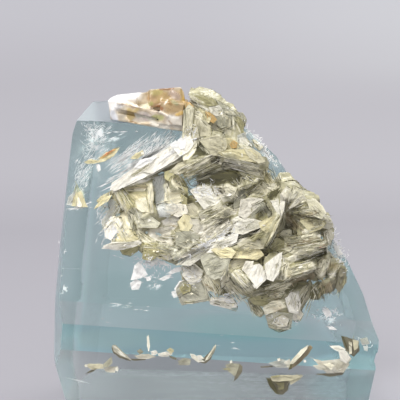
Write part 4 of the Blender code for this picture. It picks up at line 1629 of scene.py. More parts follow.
LEFT_SHEETS = (
    Leaf(G, 90, 16, (136, 211, 146, 212, 157, 220, 161, 223, 157, 228, 147, 229, 138, 227, 134, 219)),
    Leaf(V, 90, 10, (153, 178, 163, 175, 167, 186, 166, 202, 156, 203, 153, 190), 1, 3.4),
    Leaf(V, 90, 10, (156, 203, 172, 201, 180, 208, 174, 217, 160, 217), 1, 3),
    Leaf(B, 120, 24, (118, 215, 127, 210, 134, 215, 135, 227, 132, 235, 123, 235, 118, 226), 4),
    Leaf(W, 150, 26, (105, 229, 111, 221, 119, 219, 123, 225, 118, 234, 112, 240, 107, 237), 3),
    Leaf(V, 170, 30, (103, 218, 110, 208, 117, 210, 114, 219, 107, 228, 103, 227), 2),
    Leaf(Y, 100, 22, (116, 236, 124, 229, 134, 230, 140, 236, 137, 242, 126, 243, 117, 241), 3, 1.6),
    Leaf(O, 270, 30, (121, 250, 130, 246, 139, 245, 138, 251, 131, 256, 123, 254), 3),
    Leaf(W, 265, 26, (105, 246, 114, 242, 126, 241, 138, 241, 142, 243, 134, 247, 120, 249), 3, 1.8),
    Leaf(C, 60, 30, (136, 230, 143, 232, 151, 239, 156, 244, 149, 245, 140, 240), 3, 1.6),
    Leaf(Y, 280, 28, (140, 247, 149, 245, 160, 247, 169, 252, 168, 259, 156, 260, 144, 255), 4),
    Leaf(O, 285, 32, (143, 252, 152, 250, 158, 255, 150, 260, 143, 258), 2, 1.6),
    Leaf(S, 100, 22, (148, 230, 160, 228, 174, 230, 180, 237, 172, 244, 158, 244, 149, 238), 4),
    Leaf(S, 120, 24, (157, 244, 168, 242, 178, 247, 177, 256, 168, 260, 159, 253), 3),
    Leaf(G, 115, 22, (172, 246, 184, 244, 196, 246, 190, 255, 178, 261, 171, 257), 3),
    Leaf(W, 95, 20, (162, 221, 170, 216, 178, 217, 181, 224, 174, 229, 165, 229), 3, 1.4),
    Leaf(S, 90, 22, (166, 206, 176, 204, 186, 206, 188, 213, 178, 217, 168, 213), 3),
    Leaf(O, 100, 26, (165, 172, 172, 170, 175, 177, 170, 182, 165, 179), 2),
    Leaf(B, 110, 30, (173, 175, 184, 169, 192, 174, 188, 183, 178, 190, 172, 184), 3),
    Leaf(B, 95, 22, (166, 192, 176, 187, 185, 192, 183, 201, 174, 204, 165, 201), 3, 1.6),
    Leaf(O, 330, 30, (181, 184, 188, 187, 197, 195, 195, 201, 187, 199, 181, 191), 3),
    Leaf(O, 280, 28, (181, 194, 187, 198, 187, 205, 182, 205), 2, 1.4),
    Leaf(C, 108, 22, (139, 174, 150, 166, 163, 161, 175, 160, 170, 167, 157, 175, 143, 180), 3, 1.4),
    Leaf(W, 108, 18, (143, 171, 153, 164, 166, 158, 170, 160, 163, 168, 150, 174), 2, 1),
    Leaf(W, 115, 24, (111, 189, 120, 182, 132, 178, 144, 176, 152, 179, 140, 185, 124, 188), 3, 1.4),
    Leaf(C, 112, 24, (164, 162, 175, 153, 187, 146, 191, 152, 185, 160, 174, 166, 166, 168), 3, 1.6),
    Leaf(W, 112, 20, (168, 158, 178, 150, 188, 144, 189, 149, 180, 157, 172, 161), 2, 1.2),
    Leaf(C, 118, 26, (184, 152, 190, 140, 197, 142, 196, 151, 190, 160, 184, 161), 3, 1.6),
    Leaf(Y, 95, 16, (129, 193, 139, 191, 148, 191, 149, 201, 150, 212, 144, 214, 135, 211, 131, 202), 4, 1.8),
    Leaf(C, 95, 14, (136, 200, 146, 197, 149, 204, 149, 212, 142, 212, 136, 207)),
    Leaf(C, 175, 28, (148, 184, 152, 183, 154, 194, 154, 213, 150, 213, 148, 199), 4, 2.4),
    Leaf(Y, 200, 30, (112, 191, 119, 189, 126, 197, 131, 207, 127, 213, 118, 206, 112, 198), 3),
    Leaf(Y, 160, 34, (95, 208, 99, 203, 106, 197, 113, 195, 109, 201, 101, 206), 2, 1.4),
    Leaf(V, 190, 24, (108, 200, 115, 199, 121, 206, 119, 214, 111, 212), 2),
    Fan(Y, (123, 187, 149, 185), 2, 4, 1.8, -16, 3), Fan(T, (127, 189, 148, 188), 1, 0, 2, -12, 3.2),
    Fan(C, (122, 190, 148, 190), 2, 5, 1.8, -18, 3.2), Fan(O, (130, 193, 147, 192), 1, 0, 2, -16, 3.2),
    Fan(O, (155, 187, 154, 213), 1, 0, 2, -12, 2.6), Fan(B, (152, 185, 152, 213), 1, 0, 2, 12, 3.2),
    Fan(C, (117, 188, 131, 211), 5, 24, 2.2, 16, 3.2), Fan(O, (122, 190, 133, 208), 3, 14, 3, -14, 2.6),
    Fan(C, (121, 203, 106, 225), 3, 20, 2.6, 18, 2.4), Fan(V, (113, 197, 101, 213), 3, 26, 2.6, 14, 1.6),
    Fan(C, (118, 216, 104, 227), 2, 12, 2.4, -16, 2.4), Fan(G, (131, 209, 138, 228), 4, 14, 2.6, 16, 2.8),
    Fan(C, (118, 222, 130, 238), 3, 16, 3, -14, 2.6), Fan(C, (133, 214, 141, 229), 2, 10, 2.4, -14, 2.6),
    Fan(W, (106, 246, 140, 242), 2, 4, 2, -20, 3.2), Fan(C, (138, 231, 156, 244), 2, 6, 2.2, -16, 3.2),
    Fan(O, (141, 246, 168, 250), 3, 10, 3, -14, 2), Fan(C, (165, 184, 173, 203), 2, 12, 2.6, 14, 2.8),
    Fan(O, (178, 171, 190, 188), 3, 18, 2.8, 14, 2.4), Fan(C, (160, 202, 178, 200), 1, 0, 2, -16, 3),
    Fan(S, (150, 233, 178, 231), 3, 12, 3, -14, 2.4), Fan(G, (158, 246, 176, 252), 3, 18, 3, 14, 2.4),
    Fan(W, (164, 223, 180, 216), 2, 14, 2.4, 14, 2.8), Fan(O, (183, 186, 197, 199), 3, 14, 2.4, -14, 2.6),
    Fan(C, (176, 243, 190, 246), 2, 16, 2.6, 12, 2.4), Fan(T, (170, 225, 178, 226), 1, 0, 2, 10, 2.8),
    Fan(W, (146, 176, 186, 152), 3, 5, 2.4, 20, 2), Fan(W, (112, 190, 142, 178), 3, 8, 2.4, 18, 2),
    Leaf(W, 110, 12, (111, 190, 113, 183, 128, 173, 142, 164, 150, 161, 153, 174, 134, 183, 117, 191), 1),
    Leaf(W, 110, 12, (144, 172, 145, 162, 160, 153, 174, 144, 184, 138, 189, 151, 174, 162, 153, 174), 1),
    Leaf(W, 120, 14, (174, 150, 182, 139, 191, 137, 194, 145, 188, 153, 180, 157), 1),
)
LOWER_MIDDLE_SHEETS = (
    Leaf(G, 280, 22, (178, 291, 181, 284, 190, 280, 201, 281, 207, 289, 208, 298, 199, 302, 184, 303), 4, 2),
    Leaf(O, 285, 24, (179, 288, 184, 283, 191, 284, 190, 291, 183, 294)),
    Leaf(S, 120, 22, (181, 263, 190, 259, 198, 263, 203, 270, 202, 278, 192, 281, 182, 276)),
    Leaf(W, 115, 24, (182, 274, 188, 269, 197, 270, 203, 274, 199, 280, 189, 282), 2),
    Leaf(G, 95, 16, (200, 257, 208, 252, 218, 256, 228, 259, 229, 268, 224, 275, 214, 278, 206, 273), 4, 2),
    Leaf(Y, 90, 22, (212, 249, 220, 245, 231, 247, 235, 251, 231, 257, 221, 257, 214, 254), 3, 2),
    Leaf(Y, 95, 24, (232, 257, 237, 249, 246, 243, 257, 246, 262, 253, 256, 258, 243, 259), 4, 2),
    Leaf(B, 80, 22, (229, 267, 232, 260, 242, 258, 249, 260, 243, 266, 234, 273, 227, 277), 3, 1.6),
    Leaf(S, 60, 26, (241, 268, 245, 261, 252, 261, 251, 268, 246, 273), 3, 1.4),
    Leaf(W, 60, 20, (245, 271, 251, 264, 258, 263, 262, 268, 263, 278, 258, 285, 253, 286, 248, 278), 4, 2.2),
    Leaf(C, 265, 30, (203, 276, 211, 276, 218, 281, 220, 291, 215, 298, 208, 291), 4, 1.6),
    Leaf(Y, 262, 34, (212, 279, 219, 280, 221, 290, 217, 297, 213, 290), 2),
    Leaf(O, 45, 32, (233, 270, 239, 267, 247, 276, 254, 287, 251, 291, 241, 281), 2),
    Leaf(C, 240, 34, (224, 283, 230, 281, 238, 289, 243, 297, 239, 299, 230, 292), 3),
    Leaf(D, 260, 24, (219, 297, 222, 289, 226, 285, 232, 291, 235, 297, 227, 299), 1, 1),
    # a white plate that is partly a painted highlight
    Leaf(W, 275, 40, (210, 300, 221, 298, 233, 299, 237, 305, 236, 311, 226, 309, 213, 305), 3),
    Fan(B, (228, 275, 250, 299), 6, 3, 2.7, 18, 3.2), Fan(C, (234, 269, 253, 289), 4, 4, 2.5, 16, 3.4),
    Fan(C, (205, 275, 216, 298), 4, 22, 2.6, 14, 3), Fan(B, (229, 262, 221, 279), 2, 8, 2.2, 16, 2.6),
    Fan(C, (226, 277, 218, 294), 2, 10, 2.4, -14, 2.6), Fan(T, (205, 284, 213, 289), 1, 0, 2, 10, 3),
    Fan(C, (181, 302, 208, 300), 2, 6, 2.2, -22, 1), Fan(O, (212, 251, 222, 256), 2, 8, 1.8, 12, 2.8),
    Fan(W, (181, 263, 196, 271), 2, 12, 2.6, -14, 2.4), Fan(O, (232, 258, 238, 248), 2, 10, 2, 14, 2.6),
    Fan(C, (243, 272, 252, 286), 2, 8, 2, -16, 3), Fan(W, (211, 302, 235, 306), 2, 6, 2.4, -16, 2),
    Fan(C, (224, 283, 240, 299), 3, 8, 2.4, -16, 3), Fan(S, (186, 282, 200, 279), 2, 14, 2.4, 12, 2.2),
)
ROSETTE_SHEETS = (
    Leaf(D, 250, 20, (283, 214, 289, 214, 300, 226, 306, 236, 298, 239, 288, 236, 281, 228), 2, -2),
    Leaf(T, 240, 30, (284, 216, 290, 217, 299, 228, 303, 236, 294, 233, 286, 225), 2),
    Leaf(O, 280, 24, (264, 249, 270, 242, 277, 238, 286, 240, 284, 249, 276, 253, 267, 254), 3),
    Leaf(C, 265, 30, (278, 234, 282, 230, 289, 229, 290, 235, 284, 239), 2),
    Leaf(S, 88, 30, (278, 206, 278, 194, 284, 187, 289, 190, 288, 200, 284, 210), 4),
    Leaf(C, 70, 34, (284, 210, 287, 198, 291, 187, 299, 190, 302, 197, 294, 204), 4, 1.6),
    Leaf(S, 60, 28, (286, 209, 292, 200, 300, 195, 303, 199, 296, 204), 2),
    Leaf(W, 150, 22, (269, 201, 276, 200, 283, 201, 282, 209, 279, 217, 274, 210), 3, 2.2),
    Leaf(S, 15, 40, (314, 219, 322, 215, 329, 216, 332, 225, 326, 229, 318, 226), 3),
    Leaf(S, 0, 44, (321, 230, 329, 229, 332, 238, 330, 247, 325, 249, 322, 240), 3),
    Leaf(Y, 80, 30, (297, 220, 306, 218, 317, 219, 322, 223, 318, 228, 307, 232, 301, 227), 4, 2),
    Leaf(O, 110, 30, (289, 210, 297, 203, 305, 200, 309, 205, 302, 210, 292, 213), 4, 1.8),
    Leaf(C, 60, 32, (303, 201, 311, 200, 317, 206, 321, 213, 316, 218, 309, 215, 305, 208), 4, 2),
    Leaf(Y, 85, 36, (291, 213, 301, 210, 312, 213, 317, 218, 304, 220, 294, 217), 3, 1.6),
    Leaf(T, 90, 28, (282, 238, 292, 238, 302, 234, 313, 231, 322, 230, 324, 238, 312, 242, 294, 244), 4, 2),
    Leaf(B, 50, 26, (309, 232, 317, 230, 322, 231, 324, 240, 318, 242, 310, 239), 2),
    Leaf(C, 280, 36, (281, 248, 292, 245, 306, 242, 319, 240, 323, 245, 309, 250, 294, 254), 4, 2),
    Leaf(R, 280, 30, (314, 243, 318, 242, 322, 244, 319, 247, 315, 246), 1, 1),
    Leaf(C, 282, 40, (281, 256, 290, 255, 303, 251, 317, 248, 320, 249, 304, 255, 290, 260), 3, 1.6),
    Leaf(
        Y, 165, 30, (262, 248, 266, 238, 272, 225, 277, 217, 280, 218, 275, 231, 269, 243, 264, 250), 3, 2.4,
    ),
    Leaf(D, 320, 22, (318, 229, 323, 228, 324, 231, 320, 233), 1, 1.6),
    # painted shadow under the pale book above it
    Leaf(D, 275, 20, (297, 258, 309, 253, 323, 249, 326, 251, 315, 257, 302, 260), 1, 0.4),
    Fan(C, (285, 211, 283, 192), 3, 30, 0.8, 14, 3), Fan(W, (284, 210, 294, 191), 4, 34, 0.8, -14, 3.2),
    Fan(C, (286, 210, 304, 200), 2, 8, 1, 16, 4), Fan(C, (288, 212, 318, 210), 5, 30, 0.8, -14, 3.6),
    Fan(D, (290, 213, 316, 219), 2, 9, 1.4, -12, 3.4), Fan(T, (298, 217, 313, 211), 2, 10, 2, -14, 3.2),
    Fan(C, (282, 212, 281, 230), 4, 16, 1.4, 14, 3), Fan(T, (285, 213, 303, 235), 3, 14, 1.4, 16, 2),
    Fan(D, (280, 218, 264, 250), 2, 3, 1.8, 14, 2.4), Fan(C, (279, 217, 263, 249), 1, 0, 2, -18, 4),
    Fan(C, (283, 240, 318, 236), 3, 8, 2.6, -16, 3.4), Fan(C, (283, 248, 321, 241), 3, 6, 2.2, -16, 3.8),
    Fan(T, (285, 244, 312, 240), 2, 8, 2.4, -14, 3), Fan(W, (293, 257, 326, 248), 2, 4, 1.8, -22, 4),
    Fan(D, (299, 259, 325, 251), 2, 6, 2.4, -14, 1.6), Fan(C, (299, 231, 321, 225), 2, 8, 2, -16, 3.4),
    Fan(S, (322, 230, 327, 246), 2, 12, 2.4, 14, 2.6), Fan(O, (279, 253, 278, 268), 2, 14, 2.4, 14, 2.4),
    Fan(O, (269, 252, 279, 240), 3, 16, 2.8, -14, 2.4), Fan(C, (317, 220, 331, 219), 2, 14, 2.4, -16, 2.6),
)
LOWER_RIGHT_SHEETS = (
    Leaf(D, 200, 24, (311, 286, 317, 280, 324, 284, 322, 292, 317, 299, 309, 298), 2, 0.6),
    Leaf(U, 20, 30, (327, 276, 331, 265, 338, 262, 344, 267, 346, 277, 341, 289, 333, 295, 326, 290), 4, 2),
    Leaf(O, 60, 34, (330, 266, 336, 262, 343, 266, 340, 271, 332, 271), 2, 1.4),
    Leaf(U, 340, 36, (338, 268, 344, 270, 345, 281, 338, 291, 334, 288, 336, 277), 2, 1.4),
    Leaf(T, 210, 30, (320, 286, 328, 280, 331, 288, 325, 297, 317, 299), 3),
    # painted highlight: a white bar on the grey-green plate
    Leaf(W, 60, 30, (326, 273, 333, 272, 334, 275, 328, 276.5), 1, 1.2),
    Leaf(B, 170, 28, (313, 272, 314, 262, 320, 257, 326, 260, 324, 269, 318, 277), 4, 2),
    Leaf(C, 165, 24, (315, 270, 317, 262, 322, 261, 321, 269, 318, 273), 2),
    Leaf(O, 275, 24, (284, 268, 286, 262, 300, 260, 312, 261, 312, 267, 298, 271, 288, 272), 3),
    Leaf(B, 100, 26, (274, 278, 279, 266, 285, 262, 287, 270, 292, 272, 284, 279), 3, 1.6),
    Leaf(C, 285, 36, (280, 280, 290, 274, 302, 270, 313, 265, 314, 269, 302, 274, 290, 279), 3, 2),
    Leaf(T, 280, 36, (289, 279, 301, 274, 312, 271, 315, 276, 306, 283, 292, 286), 4),
    Leaf(D, 280, 24, (290, 283, 302, 280, 308, 283, 298, 288, 290, 288)),
    Leaf(W, 150, 20, (263, 263, 270, 256, 278, 251, 279, 260, 276, 272, 271, 279, 265, 277), 4, 2.4),
    Leaf(C, 285, 34, (261, 285, 274, 282, 288, 280, 291, 283, 279, 289, 266, 289), 4, 1.6),
    Leaf(D, 270, 20, (258, 285, 264, 281, 270, 280, 268, 286, 262, 287), 1, 1.6),
    Leaf(B, 250, 30, (263, 291, 273, 287, 285, 286, 289, 290, 282, 297, 270, 297), 4, 1.6),
    Leaf(O, 265, 26, (250, 298, 255, 293, 264, 291, 273, 293, 275, 298, 264, 306, 255, 304), 4, 1.6),
    Leaf(D, 265, 24, (253, 294, 262, 291, 270, 292, 266, 297, 257, 298)),
    Leaf(B, 215, 30, (248, 299, 254, 300, 263, 312, 259, 316, 251, 309), 4),
    Leaf(C, 255, 28, (262, 307, 271, 300, 280, 300, 284, 306, 274, 311, 265, 314), 3, 1.6),
    Leaf(W, 300, 24, (284, 296, 290, 291, 297, 293, 299, 303, 296, 312, 288, 310), 4, 2),
    Leaf(B, 320, 32, (297, 294, 304, 284, 310, 281, 313, 288, 307, 300, 299, 312), 4, 2),
    Leaf(S, 290, 26, (292, 311, 299, 309, 303, 314, 299, 321, 293, 320), 2),
    Leaf(G, 282, 24, (266, 316, 273, 310, 283, 310, 291, 313, 294, 320, 289, 328, 279, 331, 270, 327), 4, 2),
    Leaf(S, 275, 22, (274, 318, 282, 314, 289, 318, 286, 326, 277, 327)),
    Fan(B, (243, 299, 290, 279), 3, 4, 2, -16, 3), Fan(C, (246, 296, 283, 283), 2, 4, 2, 14, 2.6),
    Fan(D, (276, 298, 296, 283), 2, 6, 2.2, -12, 2.6), Fan(D, (261, 263, 266, 281), 1, 0, 2, 14, 2.4),
    Fan(C, (282, 280, 314, 268), 2, 5, 2, -18, 3.4), Fan(C, (288, 270, 311, 262), 4, 12, 2.4, -14, 2.6),
    Fan(C, (312, 285, 299, 312), 4, 14, 2.4, -14, 3), Fan(W, (297, 291, 293, 311), 3, 16, 2.6, 12, 2.6),
    Fan(D, (248, 298, 259, 315), 2, 5, 2.4, 12, 2.4), Fan(C, (249, 301, 256, 315), 3, 12, 2.2, -14, 2),
    Fan(C, (324, 259, 320, 275), 3, 14, 2.6, 16, 3), Fan(T, (320, 280, 324, 298), 3, 26, 2.6, 14, 2),
    Fan(C, (328, 276, 338, 264), 2, 12, 2.4, -14, 2.6), Fan(O, (345, 270, 336, 292), 3, 10, 2.2, 18, 1.6),
    Fan(C, (268, 324, 290, 327), 2, 10, 2.4, -20, 1.4), Fan(T, (288, 277, 312, 272), 3, 10, 2.6, -14, 2.6),
    Fan(C, (262, 307, 283, 300), 2, 8, 2.2, 14, 2.4), Fan(C, (283, 261, 280, 278), 3, 18, 2.6, 14, 2.6),
    Fan(O, (312, 284, 318, 298), 3, 20, 2.6, -14, 2), Fan(B, (284, 291, 264, 297), 3, 12, 2.4, 14, 2.4),
)


@dataclass(frozen=True)
class Lie:
    """A sheet laid on the mica: its outline, how it slopes, its height, and how its threads run."""

    tone: Tone
    corners: list[Vector]
    slope: Vector
    height: float
    along: Vector
    seed: float
    gains: tuple[float, ...]
    rib: float = 3.0
    ridge: float = 0.0

    @property
    def middle(self) -> Vector:
        """The middle of the outline."""
        return centre_of(self.corners)


@dataclass
class MicaBed:
    """The mica mass: its solid, worn, with the front pressed into the sheets' slopes and coloured by them.

    A leaf gets loose sheets where enough of it is free of the mass, or shown by the sheets laid after it.
    """

    relief: Relief
    stock: SheetStock
    voxel: float = 0.00026
    worn: float = 0.00016
    flatter: float = 0.34
    lift: float = 0.25
    soft: float = 1.1
    crumple: float = 0.4
    wander: float = 0.6
    step: float = 0.8
    # painted shade in the crease just outside each sheet's edge
    crease_shadow: float = 0.16
    hairs: float = 1.5
    page_tones: int = 12
    page_gains: tuple[float, float] = (0.74, 1.16)
    page_lean: float = 0.4
    page_width: float = 1.6
    page_rise: float = 0.35
    page_fall: float = 0.01
    leaf_gains: tuple[float, float] = (0.92, 1.06)
    # painted highlight just inside each sheet's edge
    rim_highlight: float = 0.12
    crease_shade: Colour = (0.8, 0.84, 1.0)
    # shares of leaf edges that get a pale sliver as painted highlight, and a dark one outside as painted
    # shade
    highlight_edge: float = 0.8
    shadow_edge: float = 0.6
    shadow_edge_of_white: float = 0.2
    mottle: float = 0.35
    facing: float = 0.05
    share: float = 0.6
    evened: int = 5
    free: float = 0.3
    shown: float = 0.55
    broad: float = 36.0
    # the bare mass's olive, made darker as painted shade for the gaps between sheets
    ground: tuple[float, float, float, float] = (0.43, 0.41, 0.265, 0.0)

    def core(self) -> Object:
        """Copies the solid, opens it where the crystal shows through, remeshes it and wears it back.

        Returns:
            The core.
        """
        core = Bench.solid("muscovite_cluster", "mica_core")
        notch = Bench.box("notch")
        notch.data.transform(
            at_grid(104, GRID_TOP - 195) @ Matrix.Rotation(math.radians(32.5), 4, "Z") @ Matrix.Scale(UNIT, 4)
            @ Matrix.Translation((35, 43, 20)) @ Matrix.Diagonal((126, 80, 200, 1))
        )
        Bench.modify(core, "BOOLEAN", object=notch, operation="DIFFERENCE", solver="EXACT")
        bpy.data.objects.remove(notch)
        Bench.modify(core, "REMESH", mode="VOXEL", voxel_size=self.voxel)
        Bench.modify(core, "DISPLACE", strength=-self.worn, mid_level=0.0)
        return core

    def settle(self, row: Leaf | Fan, gain: float, contrast: float) -> Lie:
        """Lays one leaf or fan on the relief.

        Args:
            row: The leaf or the fan.
            gain: How much lighter or darker the part is.
            contrast: How much its sheets differ.

        Returns:
            How it lies.
        """
        rng = self.stock.rng
        draws = [rng.uniform(*self.page_gains) for _ in range(self.page_tones)]
        gains = tuple((1 + (draw - 1) * contrast) * gain for draw in draws)
        if isinstance(row, Leaf):
            corners = hull(row.corners)
            turn = math.radians(row.azimuth)
            steep = math.tan(math.radians(row.lean * self.flatter))
            slope = Vector((math.cos(turn), math.sin(turn), 0)) * steep
            height = self.relief.seat(corners, slope, self.share) + row.lift * self.lift
            gains = (gain * (1 + (rng.uniform(*self.leaf_gains) - 1) * contrast),)
            lie = Lie(row.tone, corners, slope, height, farthest(corners), rng.uniform(0, 90), gains)
        else:
            corners = row.outline
            square = (corners[2] - corners[1]).normalized()
            slope = -square * math.tan(math.radians(row.side)) * self.page_lean
            height = self.relief.seat(corners, slope, self.share) + row.lift * self.lift * 0.6
            along = corners[1] - corners[0]
            seed = rng.uniform(0, 90)
            lie = Lie(row.tone, corners, slope, height, along, seed, gains, self.page_width, 1.0)
        self.relief.lay(corners, lie.slope, lie.height)
        return lie

    @staticmethod
    def inside(lie: Lie, points: np.ndarray) -> np.ndarray:
        """How far inside a sheet's outline points lie, negative outside it.

        Args:
            lie: The sheet.
            points: Rows of across and up.

        Returns:
            Their distances from the nearest side.
        """
        depth = np.full(len(points), 1e3)
        for first, second in zip(lie.corners, lie.corners[1:] + lie.corners[:1]):
            edge = (second - first).normalized()
            turn = 1 if edge.cross(lie.middle - first).z > 0 else -1
            away = edge.x * (points[:, 1] - first.y) - edge.y * (points[:, 0] - first.x)
            depth = np.minimum(depth, turn * away)
        return depth

    def press(
        self, core: Object, ground: np.ndarray, front: np.ndarray, flat: np.ndarray, lies: list[Lie]
    ) -> None:
        """Presses the front into the sheets' slopes, and stores their colours and threads.

        Args:
            core: The worn solid.
            ground: The evened height at each of its points.
            front: How much each point belongs to the front.
            flat: The points, on the grid.
            lies: The sheets, in the order in which they were laid.
        """
        shake = np.array([noise.noise_vector(Vector(place) * 0.22) for place in flat])
        normals = np.array([vertex.normal for vertex in core.data.vertices])
        seen_side = normals @ np.array(FACE.to_3x3())[:, 2] > self.facing
        level = np.where(front > 0, ground, flat[:, 2])
        spots = flat[:, :2] + shake[:, :2] * self.wander
        colours = np.tile(np.array(self.ground), (len(flat), 1))
        colours[:, :3] *= (1 + self.mottle * shake[:, 2:])
        places = np.column_stack((flat[:, 0], flat[:, 1], np.zeros(len(flat))))
        for lie in lies:
            middle, slope = np.array(lie.middle.xy), np.array(lie.slope.xy)
            reach = farthest(lie.corners).length
            away = spots - middle
            near = np.nonzero((np.abs(away).max(axis=1) < reach + 3) & seen_side)[0]
            if not near.size:
                continue
            away = away[near]
            inside = self.inside(lie, spots[near])
            way = np.array(lie.along.normalized().xy)
            still = flat[near, :2] - middle
            run, side = still @ way, still @ np.array((-way[1], way[0]))
            ribs = (side / lie.rib + 40).astype(int)
            crest = lie.ridge * (self.page_rise * (ribs % 2) - self.page_fall * side * side)
            height = lie.height - away @ slope + self.crumple * shake[near, 2] + np.maximum(crest, -1.0)
            weight = np.clip(inside / self.soft + 0.5, 0, 1)
            gap = height - level[near]
            over = weight * np.where(front[near] > 0.02, np.clip(1.6 + gap / 1.5, 0, 1), 1.0)
            # painted highlight: lighter just inside the sheet's edge
            rim = 1 + self.rim_highlight * np.clip(1.2 - inside, 0, 1)
            shade = shaded((np.array(lie.gains)[ribs % len(lie.gains)] * rim)[:, None], lie.tone)
            tone = np.column_stack((shade, np.full(len(near), lie.tone.value[3])))
            # painted shade: darker in the crease just outside the sheet's edge
            crease_shadow = np.clip(1 - np.abs(inside + 1.0) / 1.0, 0, 1) * self.crease_shadow
            colours[near, :3] *= 1 - crease_shadow[:, None] * np.array(self.crease_shade)
            colours[near] += over[:, None] * (tone - colours[near])
            level[near] += over * np.clip(gap, -self.step, self.step)
            seen = over > 0.5
            places[near[seen]] = np.column_stack((run, side, np.full(len(near), lie.seed)))[seen]
        flat[:, 2] += front * (level - flat[:, 2])
        move_on_grid(core, flat)
        store(core, "tone", colours)
        store(core, "sheet_place", places)
        core.data.update()

    def bristles(self, row: Leaf | Fan, lie: Lie) -> list[Object]:
        """Fine slivers: along a fan, or round a leaf's edge, pale on it as painted highlight and dark outside
        it as painted shade.

        Args:
            row: The fan or the leaf.
            lie: How it lies.

        Returns:
            The slivers, in grid units.
        """
        made = self.edging(lie) if isinstance(row, Leaf) else self.pages(row, lie)
        return [strand for strand in made if strand]

    def edging(self, lie: Lie) -> list[Object | None]:
        """Slivers round a leaf's edge: a pale one on it as painted highlight, a dark one outside it as
        painted shade.

        Args:
            lie: How the leaf lies.

        Returns:
            The slivers, with none where there is nothing under one.
        """
        rng = self.stock.rng
        made = []
        for first, second in zip(lie.corners, lie.corners[1:] + lie.corners[:1]):
            out = ((first + second) / 2 - lie.middle).normalized()
            grow = (second - first) * rng.uniform(-0.1, 0.2)
            # a pale sliver on the edge: painted highlight
            if rng.random() < self.highlight_edge:
                start, end = first - out * 0.4 - grow, second - out * 0.4 + grow
                made.append(self.strand(start, end, rng.uniform(0.35, 0.7), lie.tone, lie.gains[0] * 1.15))
            # a dark sliver just outside the edge: painted shade
            if rng.random() < (self.shadow_edge_of_white if lie.tone is W else self.shadow_edge):
                start, end = first + out * 0.7 - grow, second + out * 0.7 + grow
                made.append(self.strand(start, end, rng.uniform(0.5, 1.1), rng.choice((O, D, D)), 0.9, 0.0))
        return made

    def pages(self, row: Fan, lie: Lie) -> list[Object | None]:
        """Slivers along a fan, opened as it is.

        Args:
            row: The fan.
            lie: How it lies.

        Returns:
            The slivers, with none where there is nothing under one.
        """
        rng = self.stock.rng
        made = []
        hinge, tip = pairs(row.line)
        way = tip - hinge
        square = Vector((-way.y, way.x, 0)).normalized()
        for _ in range(max(3, round(row.half * 2 * self.hairs * (1 + way.length / 20)))):
            share = rng.uniform(-1, 1)
            turned = Matrix.Rotation(math.radians(row.spread / 2) * share + rng.gauss(0, 0.04), 3, "Z") @ way
            start = hinge + square * row.half * share + turned * rng.uniform(-0.08, 0.6)
            end = start + turned * rng.uniform(0.25, 0.65)
            # the dark olive slivers among the pages are painted shade between them
            tone, gain = rng.choice(((row.tone, 1.15), (row.tone, 0.85), (W, 0.95), (O, 0.9), (D, 1.1)))
            made.append(self.strand(start, end, rng.uniform(0.3, 0.75), tone, gain * lie.gains[0]))
        return made

    def strand(
        self, first: Vector, second: Vector, width: float, tone: Tone, gain: float, lift: float = 0.2
    ) -> Object | None:
        """One sliver between two grid points, or none where there is nothing under it.

        Args:
            first: Where it starts.
            second: Where it ends.
            width: How wide it is.
            tone: Its tone.
            gain: How much lighter or darker it is.
            lift: Its clearance.

        Returns:
            The sliver, in grid units, or none.
        """
        middle, way = (first + second) / 2, second - first
        if way.length < 0.5 or not self.relief.solid(middle.x, middle.y):
            return None
        aside = Vector((0.15, 0.15, 0))
        level = self.relief.seat([first, second, middle + aside], LEVEL, self.share) + lift
        turn = Matrix.Rotation(math.atan2(way.y, way.x), 4, "Z")
        spot = Matrix.Translation((middle.x, middle.y, level)) @ turn
        return self.stock.strand(spot @ Matrix.Diagonal((way.length, width, 0.5, 1)), tone, gain)

    def topmost(self, lies: list[Lie]) -> np.ndarray:
        """The number of the sheet that lies on top at each cell of the relief.

        Args:
            lies: The sheets, in the order in which they were laid.

        Returns:
            The numbers, -1 where there is none.
        """
        top = np.full(self.relief.height.shape, -1.0)
        for lie in lies:
            window, inside, _, _ = self.relief.under(lie.corners)
            top[window][inside] = lie.seed
        return top

    def loose(
        self, row: Leaf | Fan, lie: Lie, bare: Relief, top: np.ndarray, whole: Layer, thin: Layer
    ) -> list[Object]:
        """The loose sheets of a leaf: all of it over bare crystal, its top where it shows.

        Args:
            row: The leaf; a fan has none.
            lie: How it lies.
            bare: The mica's evened front.
            top: The number of the topmost sheet at each cell.
            whole: Lays a leaf with all its sheets.
            thin: Lays its top ones, close on the mass.

        Returns:
            The sheets, in grid units.
        """
        window, inside, _, _ = self.relief.under(lie.corners)
        cells = inside.sum()
        if not isinstance(row, Leaf) or not cells:
            return []
        if np.isnan(bare.height[window][inside]).mean() > self.free:
            return whole.leaf(replace(row, lift=max(row.lift, 1.0)))
        if cells > self.broad and (top[window][inside] == lie.seed).mean() > self.shown:
            return thin.leaf(replace(row, layers=min(row.layers, 2), lift=0.2))
        return []

